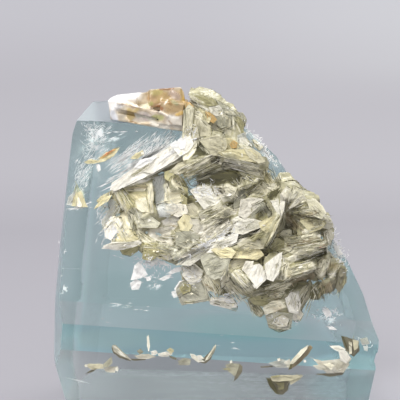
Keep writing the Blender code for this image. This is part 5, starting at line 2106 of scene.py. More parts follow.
    def build(self, parts: dict[str, tuple]) -> list[Object]:
        """Builds the bed, and a piece of loose slivers for each part.

        Args:
            parts: Rows, gain and contrast by part.

        Returns:
            The pieces, the bed first.
        """
        core = self.core()
        bare = Relief([core])
        flat = on_grid(core)
        found = bare.at(flat)
        front = np.clip((flat[:, 2] - np.where(np.isnan(found), 1e3, found)) / 4 + 1.5, 0, 1)
        bare.calm(self.evened)
        ground = bare.at(flat)
        front = np.where(np.isnan(ground), 0.0, front)
        behind = self.relief.height.copy()
        self.relief.height = np.fmax(self.relief.height, bare.height)
        laid = {}
        for part, (rows, gain, contrast) in parts.items():
            laid[part] = [self.settle(row, gain, contrast) for row in rows]
        lies = [lie for part in laid.values() for lie in part]
        self.press(core, ground, front, flat, lies)
        Bench.modify(core, "SMOOTH", factor=0.5, iterations=1)
        Bench.smooth(core, 70)
        made = [core]
        self.relief.height = np.fmax(behind, Relief([core]).height)
        top = self.topmost(lies)
        for part, (rows, gain, contrast) in parts.items():
            whole = Layer(self.relief, self.stock, gain=gain, contrast=contrast, drop=0.5, thickness=0.35)
            thin = replace(
                whole, cell=3.0, rim=0.5, ragged=0.25, thickness=0.3, drop=0.35, crumple=0.4,
                share=self.share, steepness=self.flatter,
            )
            slivers = []
            for row, lie in zip(rows, laid[part]):
                slivers += self.loose(row, lie, bare, top, whole, thin)
                slivers += self.bristles(row, lie)
                slivers += whole.litter(lie.corners, lie.along, row.tone)
            made.append(Layer.gather(slivers, f"mica_{part}"))
        return made


FILLERS = (
    Leaf(V, 90, 0, (152, 176, 166, 172, 176, 186, 184, 212, 160, 218, 152, 200), 1, 0.6),
    Leaf(B, 90, 0, (186, 108, 232, 112, 240, 136, 252, 160, 226, 170, 190, 150), 1, -0.2),
)
# each part's rows, how light it is, and how much its sheets differ
PARTS = {
    "crown": (CROWN_SHEETS, 0.88, 0.7), "roof": (ROOF_SHEETS, 1.04, 1.4), "left": (LEFT_SHEETS, 1.45, 0.8),
    "centre": (CENTRE_SHEETS, 0.95, 0.9), "lower_middle": (LOWER_MIDDLE_SHEETS, 1.30, 1.3),
    "rosette": (ROSETTE_SHEETS, 0.90, 1.6), "lower_right": (LOWER_RIGHT_SHEETS, 1.14, 1.6),
}


def dress_mica(made: list[Object]) -> None:
    """Gives the mica its pearly finish, and the whole cluster its body.

    Args:
        made: The cluster's pieces.
    """
    finish = Pearl().material()
    for piece in made:
        Bench.coat(piece, finish)
        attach(piece, "root")
    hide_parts("muscovite_cluster")


# ---------------------------------------------------------------- feldspar
@dataclass(frozen=True)
class Stain:
    """A soft mark along a line on the feldspar: it colours what lies near it, and raises or sinks it."""

    colour: Colour
    width: float
    line: tuple[float, ...]
    clear: float = 0.0
    rise: float = 0.0
    strength: float = 1.0


STAINS = (
    Stain((0.49, 0.345, 0.15), 12, (150, 99, 178, 99), 0.25),
    Stain((0.68, 0.58, 0.42), 8, (141, 97, 146, 102), 0.15, 1.5),
    Stain((0.64, 0.57, 0.44), 10, (122, 112, 128, 122, 140, 124)),
    Stain((0.95, 0.94, 0.92), 10.5, (112, 98, 134, 94), 0.0, 0.8),
    Stain((0.95, 0.93, 0.89), 7, (113, 107, 122, 103), 0.0, 0.6),
    Stain((0.86, 0.88, 0.92), 4.5, (113, 113, 116, 122), 0.1),
    Stain((0.51, 0.42, 0.16), 4, (153, 93, 160, 92), 0.2),
    Stain((0.55, 0.37, 0.19), 4, (149, 98, 154, 101), 0.2),
    Stain((0.34, 0.18, 0.08), 1.6, (160, 90, 173, 88.5), 0.2),
    Stain((0.66, 0.50, 0.38), 5, (172, 93, 177, 97), 0.5),
    Stain((0.34, 0.24, 0.08), 1.4, (181, 90, 182, 98), 0.2),
    Stain((0.62, 0.40, 0.09), 4, (184, 99, 187, 103), 0.2),
    Stain((0.56, 0.40, 0.20), 8, (170, 109, 182, 108), 0.25),
    Stain((0.40, 0.37, 0.18), 3, (173, 102, 177, 105), 0.3),
    Stain((0.36, 0.22, 0.08), 2.4, (168, 101, 171, 105), 0.2),
    Stain((0.92, 0.82, 0.68), 1.3, (165, 105, 168, 100.5)),
    Stain((0.46, 0.22, 0.09), 2.6, (157, 106, 162, 109), 0.2),
    Stain((0.50, 0.34, 0.19), 1.2, (152, 107, 160, 104, 165, 103), 0.1, -0.3),
    Stain((0.50, 0.47, 0.16), 2.8, (149, 105, 152, 104), 0.2),
    Stain((0.52, 0.40, 0.18), 5, (130, 112, 131, 118, 135, 114, 138, 111), 0.05, 0.6),
    Stain((0.70, 0.62, 0.54), 7, (141, 117, 150, 117), 0.15, -0.5),
    Stain((0.76, 0.66, 0.62), 3, (145, 117, 148, 119), 0.3),
    Stain((0.46, 0.45, 0.20), 4.2, (154, 118, 161, 118.5), 0.1, -0.4),
    Stain((0.50, 0.40, 0.27), 1.2, (140, 111, 147, 112, 151, 114.5), 0.0, 0.2),
    Stain(
        (0.90, 0.82, 0.70), 2.0, (119, 104, 128, 103, 134, 106.5, 140, 107.5, 150, 108, 158, 111, 168, 117),
        0, 1.6,
    ),
    Stain((0.66, 0.48, 0.32), 1.2, (122, 105.5, 130, 105.5, 136, 109), 0.0, -0.3, 0.7),
    Stain((0.80, 0.66, 0.46), 2.0, (127, 119, 133, 123.5, 140, 125, 150, 124, 158, 126), 0, 1.2),
    Stain((0.30, 0.17, 0.06), 0.9, (131, 121, 137, 123.5)),
    Stain((0.80, 0.76, 0.66), 4.5, (153, 124, 162, 127, 168, 128)),
    Stain((0.70, 0.65, 0.56), 8.5, (172, 122, 180, 125), 0.05),
    Stain((0.76, 0.52, 0.18), 2.8, (177, 116, 182, 114), 0.2, 0.6),
    Stain((0.36, 0.28, 0.2), 1.0, (169, 121, 172, 125)),
    Stain((0.84, 0.80, 0.72), 2.0, (170, 117, 178, 119)),
)
CHIPS = (
    Leaf(S, 90, 2, (134, 111.5, 146, 111.5, 154, 115, 158, 119.6, 148, 121, 136, 118.5), 1, 0.3),
    Leaf(C, 90, 2, (138, 100.5, 150, 100.5, 152, 107.5, 139, 107.5), 1, 0),
    Leaf(T, 90, 2, (150, 104.5, 162, 103, 162, 110, 151, 110), 1, 0),
)


@dataclass
class FeldsparGroup:
    """The stained feldspar: the solid's blocks, with corners cut back, ridges, hollows and stains.

    Each row of worn is a point, as across and down, and the way a cut through it faces, in degrees from up.
    """

    voxel: float = 0.00016
    lumps: float = 1.1
    worn: tuple[Triple, ...] = ((150, 89.8, 5.5), (182, 89, -60), (110, 97, 35))
    base: tuple[float, float, float, float] = (0.62, 0.52, 0.38, 0.15)

    def stain(self, stone: Object) -> None:
        """Colours the stone's points and shapes its front, mark by mark.

        Args:
            stone: The worn stone, in metres.
        """
        flat = on_grid(stone)
        normals = np.array([vertex.normal for vertex in stone.data.vertices]) @ np.array(FACE.to_3x3())
        facing = np.clip(normals[:, 2] * 2, 0, 1)
        wander = np.array([noise.noise_vector(Vector(place) * 0.16) for place in flat]) * self.lumps
        colours = np.tile(np.array(self.base), (len(flat), 1))
        rise = wander[:, 2].copy()
        for mark in STAINS:
            weight = np.zeros(len(flat))
            line = pairs(mark.line)
            for first, second in zip(line, line[1:]):
                start, way = np.array(first.xy), np.array((second - first).xy)
                offset = flat[:, :2] + wander[:, :2] - start
                share = np.clip(offset @ way / max(way @ way, 1e-9), 0, 1)
                distance = np.linalg.norm(offset - share[:, None] * way, axis=1)
                near = np.clip(1.5 - 1.5 * distance / mark.width, 0, 1)
                weight = np.maximum(weight, near * near * (3 - 2 * near))
            weight *= mark.strength
            colours += weight[:, None] * (np.array((*mark.colour, mark.clear)) - colours)
            rise += weight * mark.rise
        flat[:, 2] += facing * rise
        move_on_grid(stone, flat)
        store(stone, "stain", colours)
        stone.data.update()

    def build(self) -> Object:
        """Copies the solid, wears it and stains it.

        Returns:
            The piece.
        """
        stone = Bench.solid("stained_feldspar", "feldspar_group")
        for across, down, turn in self.worn:
            point = GRID_TO_WORLD @ Vector((across, GRID_TOP - down, 0))
            way = Matrix.Rotation(math.radians(turn), 3, "Z") @ Vector((0, 1, 0))
            Bench.cut(stone, point, FACE.to_3x3() @ way)
        Bench.modify(stone, "REMESH", mode="VOXEL", voxel_size=self.voxel)
        Bench.modify(stone, "SMOOTH", factor=0.5, iterations=5)
        self.stain(stone)
        Bench.smooth(stone, 40)
        Bench.coat(stone, Feldspar().material())
        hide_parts("stained_feldspar")
        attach(stone, "root")
        return stone


# ---------------------------------------------------------------- loose flakes
FLAKES = {
    "mica_flake_far_left": (
        Leaf(B, 95, 24, (85.5, 365, 90, 363, 103, 363.5, 104, 368, 92, 369)),
        Leaf(G, 60, 30, (103.5, 363.5, 112, 355.5, 113, 362, 109, 366, 104, 366.5)),
        Leaf(S, 60, 30, (104, 368, 110, 366, 117.5, 366, 115, 372, 107, 371.5), 1, 1.2),
        Leaf(U, 260, 24, (85, 374, 91, 370, 97, 368.5, 93, 371.5)),
        Leaf(W, 60, 20, (84.6, 364.5, 87, 363.2, 88, 366, 86, 366.4), 1, 1.2),
        Leaf(W, 60, 20, (115.5, 367, 118, 365.5, 118.6, 370, 116.5, 370.4), 1, 1.6),
    ),
    "mica_flake_left": (
        Leaf(U, 240, 26, (112, 345.5, 113.5, 351.5, 120, 357, 132, 360, 120, 352), 1, 0.8, 1.2),
        Leaf(S, 240, 26, (112.5, 344.5, 116, 343.5, 124, 352.5, 132, 358.5, 121, 355, 114.5, 350), 1, 1, 1.2),
        # painted highlight along the flake's upper edge
        Leaf(W, 240, 26, (113.5, 344.3, 116, 344.5, 123, 352, 128, 356.6, 121, 353.5), 1, 1.4, 1.2),
        Leaf(U, 250, 20, (131, 358, 146, 357.6, 146, 359.2, 133, 359.8)),
        Leaf(G, 260, 20, (137, 350, 141, 347.5, 144, 351, 140, 353.5)),
    ),
    "mica_flake_left_middle": (
        Leaf(S, 260, 20, (135, 355, 142, 353, 150, 353, 156, 355.5, 148, 358, 139, 358)),
        Leaf(W, 90, 20, (147.2, 336, 148.9, 334, 150.6, 345, 149, 350.5, 147.4, 345)),
        Leaf(W, 270, 26, (151.5, 350.5, 156, 349, 158.5, 352, 155, 354.5, 152, 354)),
        Leaf(W, 270, 26, (158, 352.5, 167, 350.5, 173, 353, 168, 355.8, 159, 355.2)),
        Leaf(Y, 280, 26, (166.5, 349, 171, 346.5, 174.5, 350, 171, 353)),
        Leaf(U, 250, 20, (169, 354, 177, 357, 176, 359, 170, 356.5)),
        Leaf(G, 260, 20, (178, 360, 184, 357, 191, 358.5, 190, 364, 180, 364.5)),
    ),
    "mica_flake_middle": (
        Leaf(U, 320, 30, (199, 361, 205, 362.6, 210.5, 358.5, 215.5, 348, 216, 345, 207, 355)),
        Leaf(
            C, 320, 30, (204.5, 359.5, 209, 354.5, 213.5, 345.5, 216, 343, 215.4, 348, 209.5, 357.5),
            1, 1.6, 1.2,
        ),
        Leaf(W, 220, 24, (190, 352.5, 194, 353, 199, 357, 205, 360.3, 198, 361, 192, 357), 1, 1.2, 1),
        Leaf(W, 260, 24, (197, 354, 201, 353.5, 204, 357, 199, 358.4), 1, 1.6),
    ),
    "mica_flake_right_middle": (
        Leaf(G, 100, 22, (225, 364, 231, 362, 240, 363, 239, 370, 234, 375, 228, 370)),
        Leaf(U, 0, 34, (239.5, 363, 242.3, 365, 241.6, 371, 237, 377.5, 233, 380, 237.5, 372.5)),
        Leaf(W, 90, 24, (229.4, 360, 231.2, 359, 232.4, 361.4, 230.3, 362.4)),
        Leaf(O, 90, 20, (223.5, 367.2, 230, 367.2, 230, 368.6, 224, 368.8)),
    ),
    "mica_flake_right_low": (
        Leaf(U, 250, 26, (266, 377.5, 288.5, 379.5, 287, 389, 282, 394, 277, 394, 270, 387), 2, 1),
        Leaf(D, 250, 26, (266, 377.5, 271, 379, 279, 393, 276, 393.5, 270, 387), 1, 1.4),
        Leaf(O, 240, 22, (276, 382, 284, 382, 284, 388, 279, 390), 1, 1.2),
        Leaf(B, 60, 26, (288, 376, 296, 373.5, 303, 375, 299, 379, 290, 384)),
        Leaf(B, 80, 24, (269.5, 375.5, 277, 374, 296, 374, 300, 376, 290, 380, 272, 380), 1, 1.4),
        Leaf(O, 80, 24, (270.5, 375, 279, 373.8, 279, 375.2, 272, 376.4), 1, 2),
    ),
    "mica_flake_right": (
        Leaf(V, 275, 24, (268, 362, 281, 358, 290, 360, 289, 366.5, 276, 366.5)),
        Leaf(W, 275, 24, (283, 361, 289, 357.5, 291, 363, 287, 366.5), 1, 1.2),
        Leaf(U, 270, 20, (260, 365.6, 272, 364.6, 272, 366.2, 261, 366.8)),
        Leaf(T, 310, 30, (289, 369, 298, 363, 308, 353, 312, 346.5, 309, 344, 292, 362), 2, 0.8),
        Leaf(C, 130, 30, (287.5, 366, 291, 358.5, 299.5, 349, 307.5, 343.5, 306, 348, 295, 360), 1, 1.8),
        Leaf(D, 130, 20, (287.6, 367.6, 289, 362.5, 291.6, 362, 290.4, 367), 1, 2.2),
        Leaf(W, 80, 24, (276.6, 357.6, 279.4, 356.8, 280.2, 359.4, 277.6, 360)),
        Leaf(W, 80, 24, (302.6, 359, 305, 358.4, 305.6, 361, 303.4, 361.4)),
    ),
    "mica_flake_far_right": (
        # painted shadow on the face under the flake
        Leaf(U, 260, 20, (315, 373.3, 326, 372.3, 336, 374.5, 344, 370.5, 342, 374, 330, 376), 1, 0.2),
        Leaf(W, 280, 24, (316, 360, 333, 362, 346, 357, 347.8, 364, 342, 371.5, 326, 371.5), 2, 0.8),
        # painted shade on the right side of the white bowl
        Leaf(S, 340, 30, (335, 363, 346, 357.6, 347.6, 364, 342, 371, 335, 369.5), 1, 1.6),
        Leaf(W, 265, 24, (312, 357.5, 319, 358.5, 328, 366.5, 321, 367), 1, 1.6),
        Leaf(W, 265, 24, (311.5, 364, 320, 363, 327, 369, 318, 368.5), 1, 1.2),
        Leaf(C, 120, 24, (322, 362.5, 328, 361, 333, 363.5, 330, 368), 1, 2),
    ),
    "mica_flake_corner": (
        Leaf(W, 130, 24, (328.5, 345, 338, 344.4, 344.5, 348, 342, 352.5, 334, 349)),
        Leaf(W, 250, 24, (337, 349, 344, 349, 348.6, 356, 345, 362, 339, 358.5), 2, 1),
        Leaf(U, 200, 30, (340.3, 334.6, 347, 336.5, 357, 340, 357.6, 349, 351.5, 355, 344, 348), 2, 1.2),
        Leaf(D, 200, 20, (340.3, 334.6, 342.4, 336, 346.6, 347, 344.6, 346), 1, 1.8),
        Leaf(C, 180, 24, (347.4, 340, 350.6, 341.5, 350.4, 352, 347.8, 353), 1, 1.8),
        Leaf(B, 30, 30, (351, 338, 357, 339.6, 356.6, 346, 352.4, 349), 1, 1.6),
        Leaf(V, 60, 20, (359, 338, 366, 336.6, 368.6, 343, 361, 344.4)),
        Leaf(V, 60, 20, (362, 345, 367, 345, 366.4, 350.4, 362.6, 349)),
    ),
}


# ---------------------------------------------------------------- marks on the aquamarine's front
@dataclass(frozen=True)
class Hatch:
    """Fine scratches scattered in a patch: its corners, which way they run, in degrees, and how many.

    Longest and widest are their largest sizes, and scatter is how far they stray from their heading.
    """

    corners: tuple[float, ...]
    heading: float
    count: int
    longest: float = 14.0
    widest: float = 0.8
    scatter: float = 6.0


HATCHES = (
    Hatch(
        (100, 188, 120, 170, 146, 150, 170, 138, 186, 134, 178, 146, 155, 158, 128, 174), 34, 300, 18, 0.75,
    ),
    Hatch((120, 152, 160, 130, 186, 127, 184, 142, 150, 158, 125, 174), 46, 70, 12, 0.6, 10),
    Hatch((94, 180, 104, 160, 138, 136, 160, 128, 152, 150, 120, 172), 40, 120, 24, 0.6, 5),
    Hatch((138, 152, 150, 130, 186, 128, 180, 145), 52, 60, 15, 0.5),
    Hatch((80, 120, 108, 122, 98, 140, 82, 160), -50, 120, 8, 0.42, 24),
    Hatch((78, 150, 96, 150, 88, 190, 72, 200, 72, 170), 60, 90, 10, 0.42, 12),
    Hatch((96, 190, 112, 190, 106, 240, 96, 240), 70, 40, 9, 0.7, 30),
    Hatch((170, 150, 178, 138, 188, 134, 190, 150, 178, 158), 40, 70, 8, 1.3, 30),
    Hatch((100, 218, 122, 212, 128, 240, 104, 242), 60, 90, 8, 1.5, 60),
    Hatch((125, 250, 150, 246, 182, 262, 180, 285, 150, 276, 128, 262), 25, 110, 7, 1.6, 50),
    Hatch((176, 256, 200, 240, 240, 212, 250, 222, 216, 246, 186, 266), 32, 150, 10, 1.5, 30),
    Hatch((190, 182, 214, 178, 222, 196, 196, 204), 20, 70, 9, 1.5, 50),
    Hatch((176, 268, 196, 262, 204, 286, 184, 292), 40, 60, 7, 1.4, 60),
    Hatch((210, 288, 240, 294, 244, 306, 214, 302), 10, 40, 9, 1.5, 30),
    Hatch((238, 110, 250, 124, 274, 150, 296, 182, 284, 182, 258, 156, 240, 136), 50, 110, 7, 1.3, 60),
    Hatch((326, 214, 338, 226, 350, 270, 342, 292, 332, 250), 70, 90, 7, 1.2, 60),
    Hatch((84, 124, 112, 124, 104, 152, 86, 166), 42, 90, 9, 0.5, 14),
    Hatch((84, 150, 100, 150, 92, 196, 72, 206, 76, 176), 58, 50, 9, 0.45, 14),
    Hatch((66, 202, 92, 200, 94, 208, 66, 212), 4, 36, 8, 1.4, 20),
    Hatch((182, 128, 196, 124, 200, 140, 186, 146), 30, 40, 7, 1.5, 40),
    Hatch((262, 304, 300, 322, 290, 332, 268, 326), 10, 20, 6, 1.2, 60),
    Hatch((100, 176, 128, 160, 150, 150, 158, 158, 140, 172, 112, 186), 31, 40, 18, 0.9),
    Hatch((112, 168, 135, 150, 160, 134, 178, 136, 170, 152, 135, 172), 48, 34, 14, 0.8, 8),
    Hatch((120, 164, 150, 146, 172, 140, 168, 152, 140, 168), -55, 22, 8, 0.7, 10),
    Hatch((96, 190, 112, 176, 128, 172, 112, 188), 30, 14, 16, 0.9),
    Hatch((84, 122, 112, 122, 112, 150, 84, 170), 28, 18, 16, 0.6, 12),
    Hatch((56, 240, 66, 240, 70, 300, 56, 302), 80, 14, 5, 0.8, 40),
    Hatch((310, 306, 344, 304, 346, 328, 314, 330), 20, 46, 6, 1.3, 70),
    Hatch((330, 240, 350, 246, 352, 268, 340, 262), 60, 16, 5, 1.2, 60),
    Hatch((100, 300, 150, 302, 150, 312, 100, 310), 4, 14, 9, 0.8, 8),
    Hatch((355, 336, 372, 338, 372, 348, 356, 348), 30, 12, 5, 1.2, 60),
    Hatch((126, 258, 150, 262, 170, 290, 134, 292), 35, 26, 6, 1.2, 60),
    Hatch((215, 330, 245, 330, 245, 350, 215, 350), 8, 5, 8, 0.6, 8),
    Hatch((92, 205, 112, 200, 110, 250, 96, 260), 75, 12, 10, 0.6, 10),
)
SCRATCHES = (
    (99, 137, 105, 134, 1.3), (105, 134, 112, 131.8, 1.2), (112, 131.8, 120, 132, 0.9),
    (119, 132, 128, 131.4, 1.2), (135, 131.4, 138, 131.4, 1.3), (108, 139.5, 117, 136, 0.8),
    (117, 136, 125, 132.6, 0.6), (144, 144, 150, 138, 1.2), (150, 138, 157, 131, 1.1),
    (151, 142, 158, 139, 0.9), (137, 168, 150, 167, 1.2), (112, 174, 127, 166, 1.3),
    (127, 166, 140, 158, 1.2), (118, 168, 131, 160, 1.0), (137, 164, 147, 155, 1.0),
    (160, 147, 170, 139, 1.1), (165, 142, 172, 137, 0.9), (96, 188, 115, 180, 1.2),
    (101, 192, 122, 182, 1.1), (112, 255, 118, 256.5, 0.8), (118, 256.5, 125, 259, 1.0),
    (63, 377, 90, 384, 0.7), (100, 318, 106, 318.5, 1.8), (105, 321, 113, 323, 0.7),
    (150, 275, 152, 278, 1.2), (66, 209, 80, 208.5, 1.6), (80, 208.5, 92, 201, 1.3),
    (147, 334, 149, 346, 0.8), (108, 303, 124, 304.5, 0.8), (126, 306, 136, 307, 1.1),
    (131, 170, 136, 178, 0.8), (96, 164, 99, 172, 1.6), (86, 160, 96, 158, 0.8), (96, 214, 104, 200, 0.7),
    (232, 346, 240, 349, 0.7),
)
SHARDS_AND_GLINTS = (
    # a painted highlight: the round glint at the end of the mica's white band
    Leaf(W, 90, 8, (178, 141, 181, 138.5, 185, 140, 187, 144, 185, 149, 181, 150, 178, 146)),
    Leaf(W, 90, 8, (170, 146, 176, 141, 180, 143, 179, 148, 173, 149), 1, 0.4),
    Leaf(W, 90, 8, (158, 160, 166, 154, 173, 150, 176, 152, 168, 158, 160, 163), 1, 0.4),
    Leaf(W, 90, 8, (135, 168, 141, 160, 150, 158, 158, 157, 152, 163, 140, 169), 1, 0.3),
    # white fracture film that also stands for a glint on the face
    Leaf(W, 90, 10, (131, 280, 134, 266, 138, 262, 143, 266, 148, 275, 141, 278), 1, 0.5),
    Leaf(W, 90, 10, (130, 283, 136, 279, 142, 281, 139, 289, 132, 290), 1, 0.4),
    Leaf(W, 90, 10, (149, 265, 154, 260, 159, 259, 157, 264, 151, 267), 1, 0.5),
    Leaf(W, 90, 10, (158, 260, 165, 262, 171, 266, 165, 265.5, 159, 263), 1, 0.5),
    Leaf(W, 90, 10, (168, 273, 174, 268, 183, 266, 181, 271, 172, 274), 1, 0.6),
    Leaf(W, 90, 10, (158, 279, 165, 276, 172, 273, 170, 278, 163, 281), 1, 0.5),
    Leaf(W, 90, 10, (174, 289, 179, 281, 186, 279, 183, 284, 177, 291), 1, 0.5),
    Leaf(W, 90, 10, (145, 277, 150, 276, 151, 280, 147, 281), 1, 0.4),
    Leaf(W, 90, 8, (96, 165, 99, 163, 101, 170, 98, 172), 1, 0.3),
    Leaf(W, 90, 8, (322, 310, 328, 308, 332, 314, 326, 318), 1, 0.2),
    Leaf(W, 90, 8, (326, 326, 334, 327, 337, 330, 329, 329), 1, 0.3),
    Leaf(W, 90, 8, (333, 244, 338, 246, 343, 254, 338, 256), 1, 0.2),
    Leaf(W, 90, 8, (171, 292, 176, 290, 178, 296, 174, 298), 1, 0.3),
)
GOLDEN = (
    Leaf(Y, 90, 8, (76, 184, 73, 196, 71, 206, 76, 206), 1, 0.1),
    Leaf(Y, 90, 8, (76.5, 183, 80, 194, 88, 207, 77, 207), 1, 0.2),
    Leaf(W, 90, 8, (78, 196, 82, 204, 81, 207, 77, 207), 1, 0.3),
    Leaf(V, 90, 8, (68, 197, 76, 190, 72, 205, 67, 205), 1, 0.1),
    Leaf(Y, 90, 8, (92, 164, 100, 159.5, 112, 154, 120, 147, 114, 156, 104, 161.5), 1, 0.1),
    Leaf(A, 90, 8, (99, 159.5, 106, 153, 119, 146.3, 113, 152.5, 105, 157.5), 1, 0.3),
    Leaf(R, 90, 8, (103, 156, 109, 151.5, 114, 149.5, 109, 153.5), 1, 0.5),
    Leaf(Y, 90, 8, (84, 162, 90, 159, 97, 160, 95, 163, 87, 164), 1, 0.2),
    Leaf(Y, 90, 8, (130, 159, 136, 153, 143, 150, 144, 154, 137, 159), 1, 0.2),
    Leaf(Y, 90, 8, (98, 202, 102, 196, 107, 195, 104, 200), 1, 0.2),
)


@dataclass
class FaceMarks:
    """Scratches, shards of white film with a painted glint among them, and golden film that lie in the
    aquamarine's front face.
    """

    stock: SheetStock
    thickness: float = 0.12
    proud: float = 0.03

    def needle(self, pattern: Object, relief: Relief, row: tuple[float, ...]) -> Object:
        """One scratch.

        Args:
            pattern: A flat lozenge, a unit long and a unit wide.
            relief: The front that it lies on.
            row: Its ends as across, down, across, down, and its width.

        Returns:
            The scratch, in grid units.
        """
        first, second = pairs(row[:4])
        way = second - first
        square = Vector((-way.y, way.x, 0)).normalized() * row[4]
        outline = [first, first + square, second + square, second]
        height = relief.seat(outline, LEVEL, 0.5, 0.0) + self.proud
        middle = (first + second) / 2 + Vector((0, 0, height))
        turn = Matrix((way, square, Vector((0, 0, self.thickness)))).transposed().to_4x4()
        return Bench.copy(pattern, Matrix.Translation(middle) @ turn, "scratch")

    def scattered(self) -> list[tuple[float, ...]]:
        """Scatters scratches in the hatched patches.

        Returns:
            Rows of their ends, as across, down, across, down, and their widths.
        """
        rng = self.stock.rng
        rows = []
        for hatch in HATCHES:
            corners = list(zip(hatch.corners[::2], hatch.corners[1::2]))
            for _ in range(hatch.count):
                shares = [rng.random() ** 2 + 0.02 for _ in corners]
                across = sum(share * corner[0] for share, corner in zip(shares, corners)) / sum(shares)
                down = sum(share * corner[1] for share, corner in zip(shares, corners)) / sum(shares)
                heading = math.radians(hatch.heading + rng.gauss(0, hatch.scatter))
                half = hatch.longest * rng.uniform(0.25, 1.0) / 2
                right, fall = half * math.cos(heading), -half * math.sin(heading)
                width = hatch.widest * rng.uniform(0.45, 1.0)
                rows.append((across - right, down - fall, across + right, down + fall, width))
        return rows

    def build(self, relief: Relief) -> list[Object]:
        """Builds the scratches and the films.

        Args:
            relief: The specimen's front, with the mica on it.

        Returns:
            The pieces.
        """
        pattern = Bench.disc("scratch_pattern", 4, 1.0)
        rows = (*SCRATCHES, *self.scattered())
        scratches = Bench.join([self.needle(pattern, relief, row) for row in rows], "face_scratches")
        scratches.data.transform(GRID_TO_WORLD)
        bpy.data.objects.remove(pattern)
        film = Layer(relief, self.stock, thickness=0.2, crumple=0.1, ragged=0.3)
        shards = film.build("fracture_shards_and_glints", SHARDS_AND_GLINTS, True)
        golden = film.build("golden_film", GOLDEN, True)
        finishes = (VeilWhite(), VeilWhite("shard_and_glint_white", (0.97, 0.97, 0.95), 0.03), Pearl("golden_film"))
        for piece, finish in zip((scratches, shards, golden), finishes):
            Bench.coat(piece, finish.material())
            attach(piece, "root")
        return [scratches, shards, golden]


# ---------------------------------------------------------------- studio
@dataclass
class Studio:
    """A pale sweep, soft lights and the camera."""

    view_across: float = 200
    view_up: float = 196
    distance: float = 0.25
    lens: float = 120
    paper: Colour = (0.20, 0.197, 0.213)
    floor_glow: Colour = (0.170, 0.163, 0.185)
    curve_glow: Colour = (0.276, 0.270, 0.292)
    wall_glow: Colour = (0.334, 0.334, 0.360)
    floor_size: tuple[float, float] = (3.0, 1.1)
    floor_back: float = -0.35
    back_line: float = 0.1
    curve_steps: int = 8
    curve_step: float = 0.10
    wall_rise: float = 1.6

    def sweep(self) -> Object:
        """The floor and the backdrop, in one curved sheet.

        Returns:
            The sheet.
        """
        Bench.clear()
        bpy.ops.mesh.primitive_plane_add(size=1)
        floor = bpy.context.object
        floor.name = "studio_sweep"
        size = Matrix.Diagonal((*self.floor_size, 1, 1))
        floor.data.transform(Matrix.Translation((0, self.floor_back, 0)) @ size)
        Bench.take(floor)
        bpy.ops.object.mode_set(mode="EDIT")
        bpy.ops.mesh.select_all(action="DESELECT")
        mesh = bmesh.from_edit_mesh(floor.data)
        for edge in mesh.edges:
            edge.select = all(vertex.co.y > self.back_line for vertex in edge.verts)
        bmesh.update_edit_mesh(floor.data)
        for step in range(self.curve_steps):
            turn = math.radians(90 * (step + 0.5) / self.curve_steps)
            move = Vector((0, math.cos(turn), math.sin(turn))) * self.curve_step
            bpy.ops.mesh.extrude_region_move(TRANSFORM_OT_translate={"value": move})
        bpy.ops.mesh.extrude_region_move(TRANSFORM_OT_translate={"value": (0, 0, self.wall_rise)})
        bpy.ops.object.mode_set(mode="OBJECT")
        Bench.smooth(floor, 40)
        paper = Paper("studio_paper", self.paper, self.floor_glow, self.curve_glow, self.wall_glow)
        Bench.coat(floor, paper.material())
        return floor

    def lamp(self, name: str, place: Triple, size: float, power: float, colour: Colour) -> None:
        """Adds a soft light aimed at the specimen.

        Args:
            name: The lamp's name.
            place: Where it hangs.
            size: Its width.
            power: Its power, in watts.
            colour: Its colour.
        """
        light = bpy.data.lights.new(name, "AREA")
        light.shape = "DISK"
        light.size = size
        light.energy = power
        light.color = colour
        lamp = bpy.data.objects.new(name, light)
        lamp.location = place
        aim = Vector((0, 0, 0.03)) - Vector(place)
        lamp.rotation_euler = aim.to_track_quat("-Z", "Y").to_euler()
        bpy.context.scene.collection.objects.link(lamp)

    def camera(self) -> None:
        """Adds the camera, square to the crystal's broad front face."""
        data = bpy.data.cameras.new("camera")
        data.lens = self.lens
        data.clip_start = 0.01
        eye = bpy.data.objects.new("camera", data)
        eye.matrix_world = at_grid(self.view_across, self.view_up, self.distance / UNIT)
        bpy.context.scene.collection.objects.link(eye)
        bpy.context.scene.camera = eye

    def build(self) -> None:
        """Sets up everything round the specimen."""
        scene = bpy.context.scene
        world = bpy.data.worlds.new("studio")
        world.use_nodes = True
        backdrop = world.node_tree.nodes["Background"]
        backdrop.inputs["Color"].default_value = (1.0, 0.985, 0.99, 1.0)
        backdrop.inputs["Strength"].default_value = 0.80
        scene.world = world
        scene.view_settings.view_transform = "Standard"
        self.sweep()
        self.lamp("key", (-0.16, -0.22, 0.40), 0.30, 1.8, (1.0, 0.98, 0.94))
        self.lamp("rim", (0.12, 0.16, 0.42), 0.20, 0.7, (1.0, 1.0, 1.0))
        self.camera()


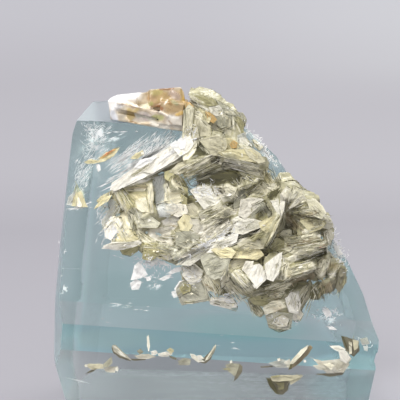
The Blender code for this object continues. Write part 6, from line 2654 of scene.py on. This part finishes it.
def feldspar_chips(relief: Relief, stock: SheetStock) -> Object:
    """Lays thin chips on the floor of the feldspar's hollow.

    Args:
        relief: The specimen's front.
        stock: What sheets are made from.

    Returns:
        The piece.
    """
    layer = Layer(
        relief, stock, cell=2.0, rim=0.15, ragged=0.05, crumple=0.8, share=0.3, gain=0.95, contrast=0.2,
    )
    chip = layer.build("feldspar_chips", CHIPS)
    Bench.coat(chip, Pearl("feldspar_chip").material())
    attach(chip, "root")
    return chip


def loose_flakes(relief: Relief, stock: SheetStock) -> list[Object]:
    """Lays the flakes of the lower front.

    Args:
        relief: The front of the solids that carry them.
        stock: What sheets are made from.

    Returns:
        The pieces, one a flake.
    """
    finish = Pearl("mica_flake").material()
    layer = Layer(
        relief, stock, gain=0.88, contrast=1.2, cell=2.4, thickness=0.35, ragged=0.2, drop=0.5, slivers=0.06,
        chips=0, share=1.0, steepness=0.35,
    )
    made = []
    for node, rows in FLAKES.items():
        flake = layer.build(f"{node}_sheets", rows, True)
        Bench.coat(flake, finish)
        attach(flake, "root")
        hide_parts(node)
        made.append(flake)
    return made


def main() -> None:
    """Builds the studio and the specimen, piece by piece.

    Blender's noise vectors shift with the clock until they're given a seed, so the seed is set first.
    """
    logging.basicConfig(level=logging.INFO, format="%(name)s: %(message)s")
    noise.seed_set(NOISE_SEED)
    Studio().build()
    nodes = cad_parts
    bare = Relief([nodes["aquamarine"], nodes["stained_feldspar"]])
    aquamarine = Aquamarine()
    crystal = aquamarine.build()
    aquamarine.dress(crystal)
    stock = SheetStock()
    stone = FeldsparGroup().build()
    relief = Relief([crystal, stone])
    mica = MicaBed(relief, stock).build(PARTS)
    filler = Layer(Relief([mica[0], crystal]), stock, cell=8, rim=1.2, share=0.12)
    mica.append(filler.build("mica_filler", FILLERS))
    chip = feldspar_chips(relief, stock)
    dress_mica(mica)
    marks = FaceMarks(stock).build(relief)
    pieces = [crystal, stone, chip, *mica, *marks, *loose_flakes(bare, stock)]
    stock.discard()
    for piece in pieces:
        log.info("%s: %d faces", piece.name, len(piece.data.polygons))


if __name__ == "__main__":
    main()
